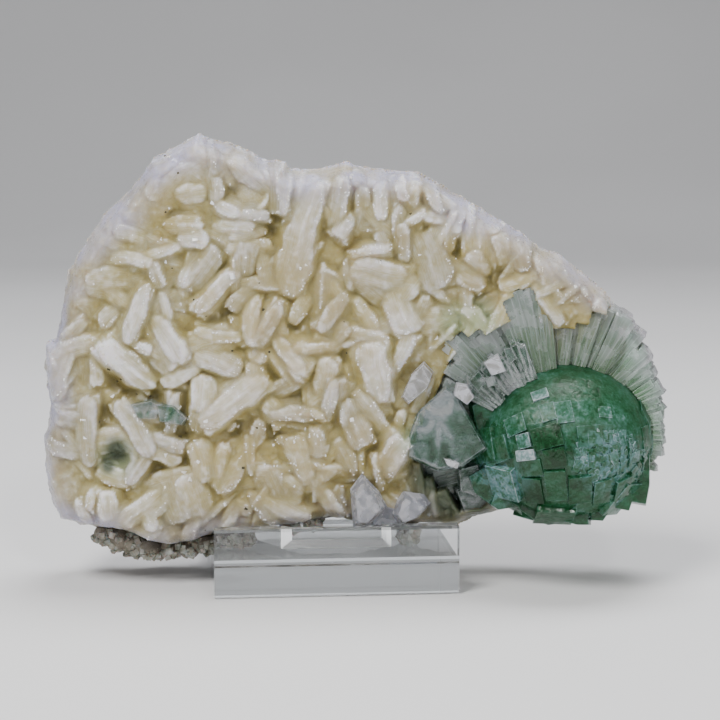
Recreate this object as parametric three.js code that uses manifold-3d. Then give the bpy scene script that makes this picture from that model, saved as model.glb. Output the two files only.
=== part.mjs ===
// A cluster of green apophyllite on a plate of stilbite blades, standing in a clear acrylic stand.
// Millimetres, +Z up, +X to the right, the crystals face -Y.
// The origin is the middle of the stand's underside.

import * as THREE from "three";
import { ConvexGeometry } from "three/addons/geometries/ConvexGeometry.js";
import { mergeVertices } from "three/addons/utils/BufferGeometryUtils.js";
import Module from "manifold-3d";

const wasm = await Module();
wasm.setup();

// Stand
const STAND_WIDTH = 50.8;
const STAND_DEPTH = 45;
const STAND_TURN_DEG = 5.5;
const LIP_HEIGHT = 14.1;
const LIP_THICKNESS = 4.5;
const GROOVE_FLOOR = 7.2;
const GROOVE_WIDTH = 28.3;
const REST_THICKNESS = 4.2;
const REST_HEIGHT = 30;
const EDGE_CHAMFER = 0.5;
const NOTCH_WIDTH = 23;
const NOTCH_DEPTH = 4.7;
const NOTCH_BEVEL = 2.2;

// Specimen, front to back
const GAP = 0.3;
const BED_FACE_Y = -11;
const BED_EDGE_Y = -4.5;
const BED_BACK_Y = 3;
const BLADE_ROOT_Y = -6;
const GLASSY_ROOT_Y = -10;
const MATRIX_FACE_Y = BED_BACK_Y + GAP;
const MATRIX_BACK_Y = 8.8;

// A blade's crest and root, and how far its ends reach, in half widths
const BLADE_CREST = 0.6;
const BLADE_ROOT = 1.1;
const BLADE_TIP = 0.9;

// Green ball
const BALL_CENTRE_PX = [560, 441];
const BALL_Y = -8.5;
const BALL_RADII = [19.4, 19.2, 17.2];
const BALL_CORE = 0.94;
const BALL_CRYSTALS = 72;
const BALL_CRYSTAL_SIDE = 5.8;
const BALL_CRYSTAL_LENGTH = 12;
const BALL_ROOM = 1.8;

// Shares of the crystal side, and millimetres that a crystal stands proud: least, and range.
const DOME_CRYSTALS = { side: [0.9, 0.3], proud: [-0.3, 0.4] };
const LOWER_CRYSTALS = { side: [0.95, 0.45], proud: [-0.6, 1.2] };
const OBLONG = [0.8, 0.4];
const DOME_EDGE = [0.35, -0.2];
const HINDMOST = -0.3;

// Prisms of the fan behind the ball
const FAN_FACE_Y = -10.5;
const FAN_BACK_Y = 2.4;
const FAN_INNER_PX = 70;
const FAN_FLARE = 0.62;
const FAN_OVERLAP = 0.25;
const FAN_TIP_LENGTH = 0.9;
const FAN_TIP_SLOPE = 0.7;
const FAN_TIP_FALL = 2.2;

// Blocky crystals: the length of their bevelled end, and the taper of their root
const BLOCK_END = 3.5;
const BLOCK_ROOT = 0.95;

// The photograph's frame is 720 x 720 pixels. Traced points are kept in it, and stand at a chosen depth Y.
const PICTURE_MIDDLE = 360;
const FOCAL_PX = 2000;
const EYE = { x: 6.8, y: -427.1, z: 98.8 };
const LOOK_DOWN = THREE.MathUtils.degToRad(7);

// The place, in millimetres, of a point of the picture that lies at depth y.
function traced(px, py, y) {
  const u = (px - PICTURE_MIDDLE) / FOCAL_PX;
  const w = (PICTURE_MIDDLE - py) / FOCAL_PX;
  const t = (y - EYE.y) / (Math.cos(LOOK_DOWN) + w * Math.sin(LOOK_DOWN));
  const rise = w * Math.cos(LOOK_DOWN) - Math.sin(LOOK_DOWN);
  return new THREE.Vector3(EYE.x + t * u, y, EYE.z + t * rise);
}

// The size in millimetres that a pixel spans at depth y.
const pixel = (y) => (y - EYE.y) / FOCAL_PX;

// Outline of the stilbite plate, clockwise from its top left peak.
const PLATE_OUTLINE_PX = [
  [199, 132], [209, 139], [231, 143], [252, 152], [263, 160], [286, 161], [291, 168], [320, 169],
  [346, 162], [368, 168], [396, 171], [419, 172], [440, 184], [468, 200], [493, 216], [518, 230],
  [542, 248], [561, 255], [587, 277], [604, 290], [612, 301], [622, 322], [626, 352], [622, 420],
  [606, 470], [560, 496], [505, 508], [470, 516], [455, 524], [420, 521], [385, 520], [352, 520],
  [330, 516], [305, 521], [270, 526], [240, 530], [215, 532], [195, 540], [172, 544], [150, 540],
  [133, 532], [115, 526], [97, 526], [78, 522], [61, 518], [52, 498], [46, 462], [45, 435],
  [53, 405], [46, 372], [47, 342], [57, 338], [64, 300], [70, 270], [84, 245], [104, 215],
  [127, 195], [142, 175], [152, 160], [176, 146],
];
const PLATE_MIDDLE_PX = [330, 375];

// Rings of the plate, from back to face: share of the outline, depth and relief.
const PLATE_RINGS = [
  [0.985, BED_BACK_Y, 0],
  [1.0, BED_EDGE_Y, 0.5],
  [0.9, BED_FACE_Y, 0],
];

// Outline of the grey matrix behind, which shows under the lower left edge.
const MATRIX_OUTLINE_PX = [
  [199, 139], [262, 166], [320, 176], [396, 178], [440, 192], [493, 224], [542, 256], [587, 286],
  [616, 318], [640, 350], [652, 392], [656, 440], [645, 486], [580, 504], [505, 508], [455, 518],
  [400, 524], [352, 518], [300, 520], [250, 530], [222, 538], [200, 541], [176, 545], [153, 548],
  [125, 540], [97, 524], [66, 508], [56, 480], [51, 437], [57, 405], [54, 372], [56, 342],
  [70, 300], [80, 262], [108, 220], [146, 178], [180, 150],
];

// Rings of the matrix, from face to broken back: share of the outline, depth and relief.
const MATRIX_RINGS = [
  [0.99, MATRIX_FACE_Y, 0],
  [1.0, 5.0, 0.3],
  [0.93, 7.6, 1.2],
  [0.68, 8.0, 2.0],
  [0.36, 8.4, 2.4],
];

// Lumps of grey druse on the matrix edge: x, y in the picture, radius in millimetres.
const DRUSE_LUMPS_PX = [
  [104, 533, 2.2], [118, 539, 2.8], [134, 544, 2.8], [152, 549, 2.6], [170, 549, 2.0],
  [188, 547, 2.0], [205, 543, 2.4], [228, 537, 2.6], [243, 536, 2.2], [408, 532, 2.4],
  [312, 519, 2.0], [290, 524, 1.8],
];
const DRUSE_Y = -6;
const DRUSE_ROOT_Y = 6;
const DRUSE_STRETCH = [1.15, 1.5, 1];
const DRUSE_NECK = 0.6;

// Stilbite blades: the two ends of the crest and the width in pixels, then the crest's height
// over the bed in millimetres. The rows run down the plate from the top left.
const BLADES_PX = [
  [205, 143, 178, 153, 20, 2.5], [172, 158, 150, 172, 22, 3.0], [147, 178, 134, 205, 24, 3.0],
  [130, 207, 108, 221, 22, 2.5], [112, 226, 92, 248, 24, 2.5], [87, 256, 77, 290, 24, 2.5],
  [215, 150, 240, 157, 16, 3.0], [190, 165, 205, 178, 26, 4.0], [160, 180, 152, 198, 20, 4.0],
  [175, 196, 203, 193, 20, 5.0], [213, 180, 216, 203, 14, 5.5], [213, 203, 240, 214, 13, 6.5],
  [238, 214, 268, 216, 12, 6.5], [246, 168, 252, 200, 34, 2.5], [226, 172, 220, 198, 9, 5.5],
  [263, 170, 271, 205, 8, 6.0], [236, 164, 258, 163, 10, 5.0], [282, 166, 284, 208, 13, 6.5],
  [272, 167, 276, 190, 8, 4.5], [296, 176, 312, 184, 16, 4.0], [315, 190, 302, 225, 26, 6.0],
  [304, 222, 288, 285, 38, 7.0], [262, 256, 268, 290, 18, 5.0], [327, 182, 320, 214, 16, 4.5],
  [341, 178, 333, 225, 22, 5.5], [352, 174, 362, 186, 16, 4.0], [350, 214, 338, 236, 16, 6.0],
  [362, 188, 358, 222, 16, 4.5], [381, 180, 382, 218, 16, 5.0], [400, 178, 405, 198, 14, 5.0],
  [402, 225, 404, 262, 13, 6.0], [416, 180, 411, 212, 11, 4.5], [430, 190, 455, 207, 14, 4.5],
  [424, 214, 452, 222, 12, 5.0], [380, 232, 388, 250, 12, 5.5], [352, 257, 388, 249, 9, 6.5],
  [355, 272, 402, 282, 30, 6.0], [395, 292, 413, 328, 32, 6.5], [346, 262, 352, 290, 14, 5.0],
  [420, 238, 436, 285, 38, 5.5], [452, 256, 458, 288, 14, 4.0], [478, 266, 476, 224, 36, 5.0],
  [500, 236, 508, 262, 22, 4.5], [520, 240, 522, 268, 24, 4.5], [545, 257, 550, 296, 24, 4.5],
  [566, 268, 573, 298, 22, 4.0], [586, 284, 592, 300, 18, 3.5], [425, 305, 456, 311, 14, 4.0],
  [445, 296, 468, 290, 14, 4.0], [408, 338, 392, 372, 16, 5.5], [345, 333, 386, 340, 14, 6.0],
  [372, 350, 380, 398, 34, 7.0], [378, 405, 376, 432, 20, 3.5], [346, 292, 322, 330, 16, 6.5],
  [318, 300, 326, 318, 16, 4.5], [340, 275, 335, 300, 14, 4.0], [290, 352, 345, 346, 12, 6.0],
  [275, 338, 302, 370, 16, 7.0], [278, 304, 256, 345, 16, 7.0], [254, 298, 252, 345, 18, 6.5],
  [250, 345, 262, 362, 20, 5.0], [245, 245, 242, 275, 26, 6.0], [236, 275, 197, 312, 15, 6.5],
  [215, 228, 252, 230, 24, 5.5], [210, 250, 180, 285, 36, 5.5], [165, 226, 200, 224, 20, 5.0],
  [178, 238, 205, 240, 22, 6.0], [110, 257, 150, 261, 13, 5.5], [150, 262, 162, 288, 14, 5.5],
  [115, 232, 145, 240, 18, 4.5], [90, 282, 128, 284, 34, 4.5], [75, 305, 100, 302, 12, 3.0],
  [68, 322, 88, 328, 26, 2.5], [147, 286, 127, 342, 19, 7.0], [162, 292, 168, 322, 10, 5.0],
  [152, 320, 180, 360, 20, 6.5], [104, 345, 150, 386, 25, 7.0], [134, 346, 150, 352, 12, 6.0],
  [196, 332, 242, 338, 13, 5.5], [198, 354, 240, 370, 24, 6.5], [198, 366, 164, 384, 18, 5.5],
  [204, 380, 202, 412, 24, 6.5], [203, 422, 264, 380, 25, 7.0], [185, 312, 205, 322, 20, 2.5],
  [232, 316, 242, 330, 12, 4.0], [270, 417, 316, 416, 16, 6.0], [272, 394, 300, 376, 22, 5.0],
  [330, 362, 318, 400, 20, 6.0], [334, 382, 326, 424, 15, 6.5], [345, 365, 352, 395, 16, 3.5],
  [350, 416, 362, 445, 27, 6.0], [337, 440, 352, 475, 20, 5.0], [401, 440, 380, 475, 24, 6.5],
  [404, 410, 398, 430, 14, 4.0], [120, 404, 150, 455, 20, 6.0], [148, 452, 128, 482, 18, 5.5],
  [74, 352, 72, 390, 42, 3.0], [95, 350, 96, 385, 14, 4.5], [86, 400, 88, 465, 22, 5.5],
  [59, 428, 61, 470, 24, 3.0], [64, 475, 68, 506, 22, 3.0], [98, 470, 128, 480, 20, 4.5],
  [97, 488, 88, 510, 12, 5.0], [104, 512, 135, 510, 22, 4.5], [140, 503, 152, 530, 16, 5.0],
  [148, 438, 182, 450, 17, 5.5], [165, 485, 178, 520, 34, 5.0], [190, 478, 204, 516, 34, 5.5],
  [198, 445, 206, 480, 30, 5.5], [226, 445, 218, 490, 18, 5.0], [232, 503, 250, 512, 20, 4.0],
  [248, 436, 252, 475, 12, 5.0], [264, 472, 278, 508, 34, 5.0], [292, 442, 308, 486, 26, 6.0],
  [314, 432, 324, 470, 20, 5.5], [320, 480, 324, 502, 24, 5.0], [338, 496, 344, 512, 10, 4.0],
];

// Pale prisms that radiate from the ball: bearing in degrees counter-clockwise from +X and outer
// radius and width in pixels, then how far the front face stands before the fan's own face.
const FAN_PRISMS_PX = [
  [-14, 105, 13, 0.0], [-6, 107, 15, 1.0], [3, 108, 16, 0.4], [12, 109, 16, 1.4], [21, 112, 16, 0.6],
  [30, 117, 17, 1.6], [39, 121, 18, 0.8], [48, 128, 18, 2.0], [56, 138, 18, 1.0], [63, 145, 17, 2.2],
  [70, 147, 16, 1.2], [77, 134, 14, 2.4], [83, 119, 12, 1.4], [89, 116, 12, 2.4], [95, 124, 12, 1.8],
  [101, 161, 20, 4.2], [109, 166, 22, 5.0], [117, 137, 18, 3.4], [124, 146, 19, 4.4],
  [131, 155, 20, 3.6], [138, 158, 17, 4.6],
];

// Clear crystals left of the ball, each by its outline, the depth of its face and how far the
// face is drawn in.
const SIDE_CRYSTALS_PX = [
  {
    outline: [[443, 390], [419, 411], [407, 446], [408, 459], [437, 470], [456, 462], [452, 420]],
    face: -24,
    inset: 0.2,
  },
  { outline: [[401, 396], [424, 362], [446, 384], [428, 412], [413, 406]], face: -18.5, inset: 0.12 },
];
const SIDE_ROOT_Y = -8;

// Blocks that stand on the rim of the ball and belong to it.
const RIM_BLOCKS_PX = [
  { outline: [[449, 389], [464, 372], [490, 386], [480, 410], [455, 400]], face: -25, inset: 0.12 },
  { outline: [[476, 364], [500, 353], [514, 374], [492, 388]], face: -24, inset: 0.12 },
  { outline: [[497, 346], [512, 347], [519, 362], [506, 374], [492, 362]], face: -20, inset: 0.2 },
  {
    outline: [[462, 452], [480, 452], [486, 484], [472, 503], [446, 498], [440, 474]],
    face: -19,
    inset: 0.2,
  },
];

// White pointed crystals over the front lip of the stand, and glassy ones at the left.
const WHITE_CRYSTALS_PX = [
  {
    outline: [[362, 473], [379, 491], [387, 506], [369, 526], [353, 527], [350, 489]],
    face: -20.5,
    inset: 0.35,
  },
  {
    outline: [[397, 500], [403, 491], [424, 494], [431, 503], [418, 518], [400, 525], [392, 514]],
    face: -19,
    inset: 0.35,
  },
  { outline: [[372, 500], [398, 506], [402, 526], [370, 526]], face: -15, inset: 0.2 },
];
const GLASSY_CRYSTALS_PX = [
  { outline: [[128, 403], [152, 398], [164, 405], [158, 420], [136, 420]], face: -16.5, inset: 0.2 },
  { outline: [[154, 402], [174, 403], [190, 418], [184, 426], [158, 422]], face: -17.5, inset: 0.2 },
];

// Park-Miller sequence of numbers from 0 to 1, the same on every run.
function sequence(seed) {
  let state = seed;
  return () => {
    state = (state * 16807) % 2147483647;
    return state / 2147483647;
  };
}

const mix = ([base, slope], amount) => base + slope * amount;

// A closed mesh as a solid for joining and cutting.
function solid(geometry) {
  const bare = geometry.index ? geometry.toNonIndexed() : geometry.clone();
  bare.deleteAttribute("normal");
  bare.deleteAttribute("uv");
  const merged = mergeVertices(bare, 1e-4);
  return new wasm.Manifold(
    new wasm.Mesh({
      numProp: 3,
      vertProperties: new Float32Array(merged.attributes.position.array),
      triVerts: new Uint32Array(merged.index.array),
    }),
  );
}

function geometryOf(body) {
  const mesh = body.getMesh();
  const geometry = new THREE.BufferGeometry();
  geometry.setAttribute("position", new THREE.BufferAttribute(mesh.vertProperties, 3));
  geometry.setIndex(new THREE.BufferAttribute(mesh.triVerts, 1));
  return geometry;
}

const fuse = (bodies) => bodies.reduce((sum, body) => sum.add(body));

// The main body of a solid, without the chips that a cut leaves loose.
const largest = (body) =>
  body.decompose().reduce((best, next) => (next.volume() > best.volume() ? next : best));

const hull = (points) => solid(new ConvexGeometry(points));

// A stack of closed rings with equal counts, closed at both ends by a fan to an end point.
function loft(rings, firstPoint, lastPoint) {
  const count = rings[0].length;
  const points = [...rings.flat(), firstPoint, lastPoint];
  const first = rings.length * count;
  const faces = [];
  for (let i = 0; i < count; i++) {
    const next = (i + 1) % count;
    for (let k = 0; k + 1 < rings.length; k++) {
      const low = k * count;
      const high = low + count;
      faces.push(low + i, high + i, high + next, low + i, high + next, low + next);
    }
    const top = (rings.length - 1) * count;
    faces.push(first, i, next, first + 1, top + next, top + i);
  }
  const geometry = new THREE.BufferGeometry().setFromPoints(points);
  geometry.setIndex(faces);
  return solid(geometry);
}

// A swell of about one unit over a surface point, broad like a break in rock.
function swell(x, z) {
  return 0.5 * Math.sin(0.13 * x + 1.3) * Math.cos(0.17 * z) + 0.5 * Math.sin(0.31 * x - 0.23 * z);
}

// The outline drawn in towards the plate's middle, at depth y.
function ringOf(outline, share, y, relief) {
  const middle = traced(...PLATE_MIDDLE_PX, y);
  return outline.map(([px, py]) => {
    const point = traced(px, py, y).lerp(middle, 1 - share);
    point.y += relief * swell(point.x, point.z);
    return point;
  });
}

// The plate that the blades stand on, domed to the front and flat at the back.
function bedBody() {
  const rings = PLATE_RINGS.map((step) => ringOf(PLATE_OUTLINE_PX, ...step));
  return loft(
    rings,
    traced(...PLATE_MIDDLE_PX, BED_BACK_Y),
    traced(...PLATE_MIDDLE_PX, BED_FACE_Y),
  );
}

// A blade on edge: its crest runs from one traced end to the other, and its root is in the bed.
function blade([ax, ay, bx, by, widthPx, height]) {
  const crest = BED_FACE_Y - height;
  const half = (widthPx * pixel(crest)) / 2;
  const start = traced(ax, ay, crest);
  const end = traced(bx, by, crest);
  const along = end.clone().sub(start).normalize();
  const across = new THREE.Vector3(-along.z, 0, along.x);
  const length = start.distanceTo(end);
  // Each corner: how far along, how far across, and how far behind the crest.
  const root = BLADE_ROOT_Y - crest;
  const tip = BLADE_TIP * half;
  const corners = [0, length].flatMap((at) => [
    [at, BLADE_CREST, 0], [at, -BLADE_CREST, 0], [at, BLADE_ROOT, root], [at, -BLADE_ROOT, root],
    [at ? at + tip : -tip, 0, tip],
  ]);
  return hull(
    corners.map(([at, side, depth]) => {
      const point = start.clone().addScaledVector(along, at).addScaledVector(across, side * half);
      return point.setY(crest + depth);
    }),
  );
}

// A flat-faced crystal over a traced outline. Growing it makes the pocket it sits in.
function blockCrystal({ outline, face, inset }, root, grow = 0) {
  const middle = outline
    .map(([px, py]) => traced(px, py, root))
    .reduce((sum, point) => sum.add(point))
    .divideScalar(outline.length);
  const place = ([px, py], y, share) => {
    const point = traced(px, py, y);
    const spoke = point.clone().sub(middle).setY(0);
    const reach = spoke.length() * share + grow * Math.SQRT2;
    return middle.clone().addScaledVector(spoke.normalize(), reach).setY(y);
  };
  const front = outline.map((corner) => place(corner, face - grow, 1 - inset));
  const shoulder = outline.map((corner) => place(corner, face + BLOCK_END - grow, 1));
  const back = outline.map((corner) => place(corner, root, BLOCK_ROOT));
  return hull([...front, ...shoulder, ...back]);
}

const blocks = (rows, root, grow = 0) => fuse(rows.map((row) => blockCrystal(row, root, grow)));

// A prism of the fan: a flat bar that points away from the ball's middle and ends in a slant.
function fanPrism([bearing, outerPx, widthPx, proud], index, grow = 0) {
  const centre = traced(...BALL_CENTRE_PX, FAN_FACE_Y);
  const scale = pixel(FAN_FACE_Y);
  const angle = THREE.MathUtils.degToRad(bearing);
  const out = new THREE.Vector3(Math.cos(angle), 0, Math.sin(angle));
  const across = new THREE.Vector3(-out.z, 0, out.x);
  const inner = FAN_INNER_PX * scale;
  const outer = outerPx * scale + grow;
  const neck = outer - FAN_TIP_LENGTH;
  const half = (widthPx * scale) / 2 + FAN_OVERLAP + grow;
  const face = FAN_FACE_Y - proud - grow;
  const slope = index % 2 ? FAN_TIP_SLOPE : -FAN_TIP_SLOPE;
  const tip = face + FAN_TIP_FALL;
  // Each corner: reach from the ball's middle, then side and depth.
  const corners = [
    [inner, FAN_FLARE * half, face], [inner, -FAN_FLARE * half, face],
    [neck, half, face + FAN_TIP_SLOPE], [neck, -half, face],
    [outer + slope, BLOCK_ROOT * half, tip], [outer - slope, -BLOCK_ROOT * half, tip],
    [outer + slope, BLOCK_ROOT * half, FAN_BACK_Y + grow],
    [outer - slope, -BLOCK_ROOT * half, FAN_BACK_Y + grow],
    [inner, FAN_FLARE * half, FAN_BACK_Y + grow], [inner, -FAN_FLARE * half, FAN_BACK_Y + grow],
  ];
  return hull(
    corners.map(([reach, side, y]) =>
      centre.clone().setY(y).addScaledVector(out, reach).addScaledVector(across, side),
    ),
  );
}

function fanBody(grow = 0) {
  return fuse(FAN_PRISMS_PX.map((row, index) => fanPrism(row, index, grow)));
}

// Space behind the specimen's own back, for cutting pieces flat against the matrix.
function behind(y) {
  const side = 400;
  const box = new THREE.BoxGeometry(side, side, side);
  return solid(box.translate(0, y + side / 2, 0));
}

// The room that the ball and its crystals take, for cutting what is behind it.
function ballPocket() {
  const sphere = new THREE.SphereGeometry(1, 16, 10);
  const centre = traced(...BALL_CENTRE_PX, BALL_Y);
  sphere.scale(...BALL_RADII.map((radius) => radius + BALL_ROOM));
  sphere.translate(centre.x, centre.y, centre.z);
  return solid(sphere).add(blocks(RIM_BLOCKS_PX, BALL_Y + GAP, GAP));
}

// The ball: square prisms of apophyllite that radiate from one middle. On the upper dome they end
// level, in small faces, and lower down they are larger and stand proud of each other.
function ballBody() {
  const next = sequence(41);
  const centre = traced(...BALL_CENTRE_PX, BALL_Y);
  const ball = new THREE.IcosahedronGeometry(BALL_CORE, 2);
  const crystals = [solid(ball.scale(...BALL_RADII))];
  const up = new THREE.Vector3(0, 0, 1);
  for (let i = 0; i < BALL_CRYSTALS; i++) {
    const forward = 1 - (2 * (i + 0.5)) / BALL_CRYSTALS;
    const ring = Math.sqrt(1 - forward * forward);
    const turn = i * Math.PI * (3 - Math.sqrt(5));
    const out = new THREE.Vector3(ring * Math.cos(turn), -forward, ring * Math.sin(turn));
    const [a, b, c] = [next(), next(), next()];
    if (forward < HINDMOST) continue;
    const kind = out.z > mix(DOME_EDGE, out.x) ? DOME_CRYSTALS : LOWER_CRYSTALS;
    const side = BALL_CRYSTAL_SIDE * mix(kind.side, a);
    const proud = mix(kind.proud, b);
    const place = out.clone().multiply(new THREE.Vector3(...BALL_RADII));
    const normal = out.clone().divide(new THREE.Vector3(...BALL_RADII)).normalize();
    const box = new THREE.BoxGeometry(side, side * mix(OBLONG, c), BALL_CRYSTAL_LENGTH);
    box.translate(0, 0, proud - BALL_CRYSTAL_LENGTH / 2).rotateZ(Math.PI * a);
    box.applyQuaternion(new THREE.Quaternion().setFromUnitVectors(up, normal));
    crystals.push(solid(box.translate(place.x, place.y, place.z)));
  }
  const moved = geometryOf(fuse(crystals)).translate(centre.x, centre.y, centre.z);
  return solid(moved).add(blocks(RIM_BLOCKS_PX, BALL_Y)).subtract(behind(BED_BACK_Y));
}

// A lump of druse, which runs back into the matrix.
function druseLump([px, py, radius], index, grow = 0) {
  const lump = new THREE.IcosahedronGeometry(radius + grow, 0);
  lump.rotateX(index).rotateZ(2 * index).scale(...DRUSE_STRETCH);
  const centre = traced(px, py, DRUSE_Y);
  const corners = lump.translate(centre.x, centre.y, centre.z).attributes.position;
  const points = Array.from({ length: corners.count }, (_, i) =>
    new THREE.Vector3().fromBufferAttribute(corners, i),
  );
  const half = DRUSE_NECK * radius + grow;
  const root = [[-half, -half], [half, -half], [half, half], [-half, half]].map(
    ([x, z]) => new THREE.Vector3(centre.x + x, DRUSE_ROOT_Y, centre.z + z),
  );
  return hull([...points, ...root]);
}

const druse = (grow = 0) => fuse(DRUSE_LUMPS_PX.map((row, index) => druseLump(row, index, grow)));

// The matrix: a rough grey slab behind the plate, with druse lumps along its lower edge.
function matrixBody() {
  const rings = MATRIX_RINGS.map((step) => ringOf(MATRIX_OUTLINE_PX, ...step));
  const slab = loft(
    rings.reverse(),
    traced(...PLATE_MIDDLE_PX, MATRIX_BACK_Y),
    traced(...PLATE_MIDDLE_PX, MATRIX_FACE_Y),
  );
  return slab.add(druse());
}

// Side profile of the stand, drawn from front to back and up.
function standProfile(grow = 0) {
  const front = -STAND_DEPTH / 2 - grow;
  const back = STAND_DEPTH / 2 + grow;
  const grooveFront = -STAND_DEPTH / 2 + LIP_THICKNESS + grow;
  const grooveBack = grooveFront + GROOVE_WIDTH - 2 * grow;
  const floor = GROOVE_FLOOR + grow;
  const lip = LIP_HEIGHT + grow;
  const rest = REST_HEIGHT + grow;
  const restBack = grooveBack + REST_THICKNESS + 2 * grow;
  const cut = EDGE_CHAMFER;
  return new THREE.Shape(
    [
      [front, cut], [front + cut, 0], [back - cut, 0], [back, cut],
      [back, floor - cut], [back - cut, floor], [restBack, floor],
      [restBack, rest - cut], [restBack - cut, rest], [grooveBack + cut, rest],
      [grooveBack, rest - cut], [grooveBack, floor], [grooveFront, floor],
      [grooveFront, lip - cut], [grooveFront - cut, lip], [front + cut, lip], [front, lip - cut],
    ].map(([y, z]) => new THREE.Vector2(y, z)),
  );
}

function standBlank(grow = 0) {
  const width = STAND_WIDTH + 2 * grow;
  const blank = new THREE.ExtrudeGeometry(standProfile(grow), { depth: width, bevelEnabled: false });
  // The profile's plane (Y, Z) and the run along X come out of the extrusion's own X, Y and Z.
  const basis = new THREE.Matrix4().set(0, 0, 1, -width / 2, 1, 0, 0, 0, 0, 1, 0, 0, 0, 0, 0, 1);
  blank.applyMatrix4(basis);
  return solid(blank);
}

// The bevelled relief in the back of the lip.
function lipNotch() {
  const back = -STAND_DEPTH / 2 + LIP_THICKNESS;
  const over = 1;
  const corners = [
    [NOTCH_WIDTH / 2, back, LIP_HEIGHT - NOTCH_DEPTH],
    [NOTCH_WIDTH / 2, back, LIP_HEIGHT + over],
    [NOTCH_WIDTH / 2, back + over, LIP_HEIGHT - NOTCH_DEPTH],
    [NOTCH_WIDTH / 2, back + over, LIP_HEIGHT + over],
    [NOTCH_WIDTH / 2 - NOTCH_BEVEL, back - NOTCH_BEVEL, LIP_HEIGHT - NOTCH_DEPTH + NOTCH_BEVEL],
    [NOTCH_WIDTH / 2 - NOTCH_BEVEL, back - NOTCH_BEVEL, LIP_HEIGHT + over],
  ];
  return hull(
    corners.flatMap(([x, y, z]) => [new THREE.Vector3(x, y, z), new THREE.Vector3(-x, y, z)]),
  );
}

function turned(body) {
  const geometry = geometryOf(body);
  geometry.rotateZ(THREE.MathUtils.degToRad(STAND_TURN_DEG));
  return solid(geometry);
}

const glossy = (color, roughness, opacity = 1) =>
  new THREE.MeshStandardMaterial({ color, roughness, metalness: 0, opacity, transparent: opacity < 1 });

const materials = {
  stilbite: () => glossy(0xd9cfb4, 0.45),
  matrix: () => glossy(0x8f8778, 0.85),
  greenApophyllite: () => glossy(0x2f7a4f, 0.12, 0.85),
  paleApophyllite: () => glossy(0xb9cdbf, 0.2, 0.7),
  clearCrystal: () => glossy(0xb8d3cf, 0.12, 0.6),
  whiteCrystal: () => glossy(0xdcdce4, 0.25),
  acrylic: () => glossy(0xe9f1f4, 0.05, 0.3),
};

function meshOf(name, body, material) {
  const mesh = new THREE.Mesh(geometryOf(body), material);
  mesh.name = name;
  return mesh;
}

function buildCluster() {
  const standRoom = turned(standBlank(GAP));
  const pocket = ballPocket();

  const side = blocks(SIDE_CRYSTALS_PX, SIDE_ROOT_Y).subtract(pocket);
  const sideRoom = blocks(SIDE_CRYSTALS_PX, SIDE_ROOT_Y + GAP, GAP);
  const white = blocks(WHITE_CRYSTALS_PX, BLADE_ROOT_Y).subtract(standRoom);
  const whiteRoom = blocks(WHITE_CRYSTALS_PX, BLADE_ROOT_Y + GAP, GAP);
  const glassy = blocks(GLASSY_CRYSTALS_PX, GLASSY_ROOT_Y);
  const glassyRoom = blocks(GLASSY_CRYSTALS_PX, GLASSY_ROOT_Y + GAP, GAP);

  const fan = largest(fanBody().subtract(pocket).subtract(sideRoom));
  const rooms = [fanBody(GAP), pocket, sideRoom, whiteRoom, glassyRoom, druse(GAP), standRoom];
  const grown = fuse([bedBody(), ...BLADES_PX.map(blade)]);
  const bed = largest(rooms.reduce((rest, room) => rest.subtract(room), grown));
  const matrix = matrixBody().subtract(standRoom);

  const specimen = new THREE.Group();
  specimen.add(
    meshOf("matrix", matrix, materials.matrix()),
    meshOf("stilbite_bed", bed, materials.stilbite()),
    meshOf("apophyllite_ball", ballBody(), materials.greenApophyllite()),
    meshOf("apophyllite_fan", fan, materials.paleApophyllite()),
    meshOf("side_crystals", side, materials.clearCrystal()),
    meshOf("white_crystals", white, materials.whiteCrystal()),
    meshOf("glassy_crystals", glassy, materials.clearCrystal()),
  );

  const stand = new THREE.Group();
  stand.rotation.z = THREE.MathUtils.degToRad(STAND_TURN_DEG);
  stand.add(meshOf("acrylic_stand", standBlank().subtract(lipNotch()), materials.acrylic()));

  const cluster = new THREE.Group();
  cluster.add(specimen, stand);
  return cluster;
}

export default buildCluster();
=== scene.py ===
"""An apophyllite cluster on stilbite in a clear acrylic stand.

Shapes are made in millimetres and turned to metres when a mesh is written. Points traced from the
720 x 720 photograph are kept as pixels, and traced() puts them at a chosen depth.
"""

import math

import bmesh
import bpy
import numpy as np
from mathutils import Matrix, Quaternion, Vector
from mathutils.bvhtree import BVHTree


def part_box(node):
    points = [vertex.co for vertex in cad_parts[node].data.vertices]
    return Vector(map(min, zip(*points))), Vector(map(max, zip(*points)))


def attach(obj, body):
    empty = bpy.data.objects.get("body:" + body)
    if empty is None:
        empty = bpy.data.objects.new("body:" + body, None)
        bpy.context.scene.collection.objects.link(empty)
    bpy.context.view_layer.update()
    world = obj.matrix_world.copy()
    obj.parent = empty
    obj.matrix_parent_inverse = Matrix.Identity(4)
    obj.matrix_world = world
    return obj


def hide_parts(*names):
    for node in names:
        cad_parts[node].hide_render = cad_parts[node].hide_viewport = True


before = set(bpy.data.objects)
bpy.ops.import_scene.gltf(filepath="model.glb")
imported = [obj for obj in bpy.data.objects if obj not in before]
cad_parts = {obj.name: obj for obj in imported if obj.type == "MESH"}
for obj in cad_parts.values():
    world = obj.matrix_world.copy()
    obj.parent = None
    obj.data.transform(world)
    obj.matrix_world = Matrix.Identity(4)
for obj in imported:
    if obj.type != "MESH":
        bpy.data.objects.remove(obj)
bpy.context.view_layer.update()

MM = 0.001

# View
PICTURE_MIDDLE = 360
LENS_MM = 100
SENSOR_MM = 36
PICTURE_PX = 720
FOCAL_PX = LENS_MM / SENSOR_MM * PICTURE_PX
EYE = np.array([6.8, -427.1, 98.8])
LOOK_DOWN = math.radians(7)

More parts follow.
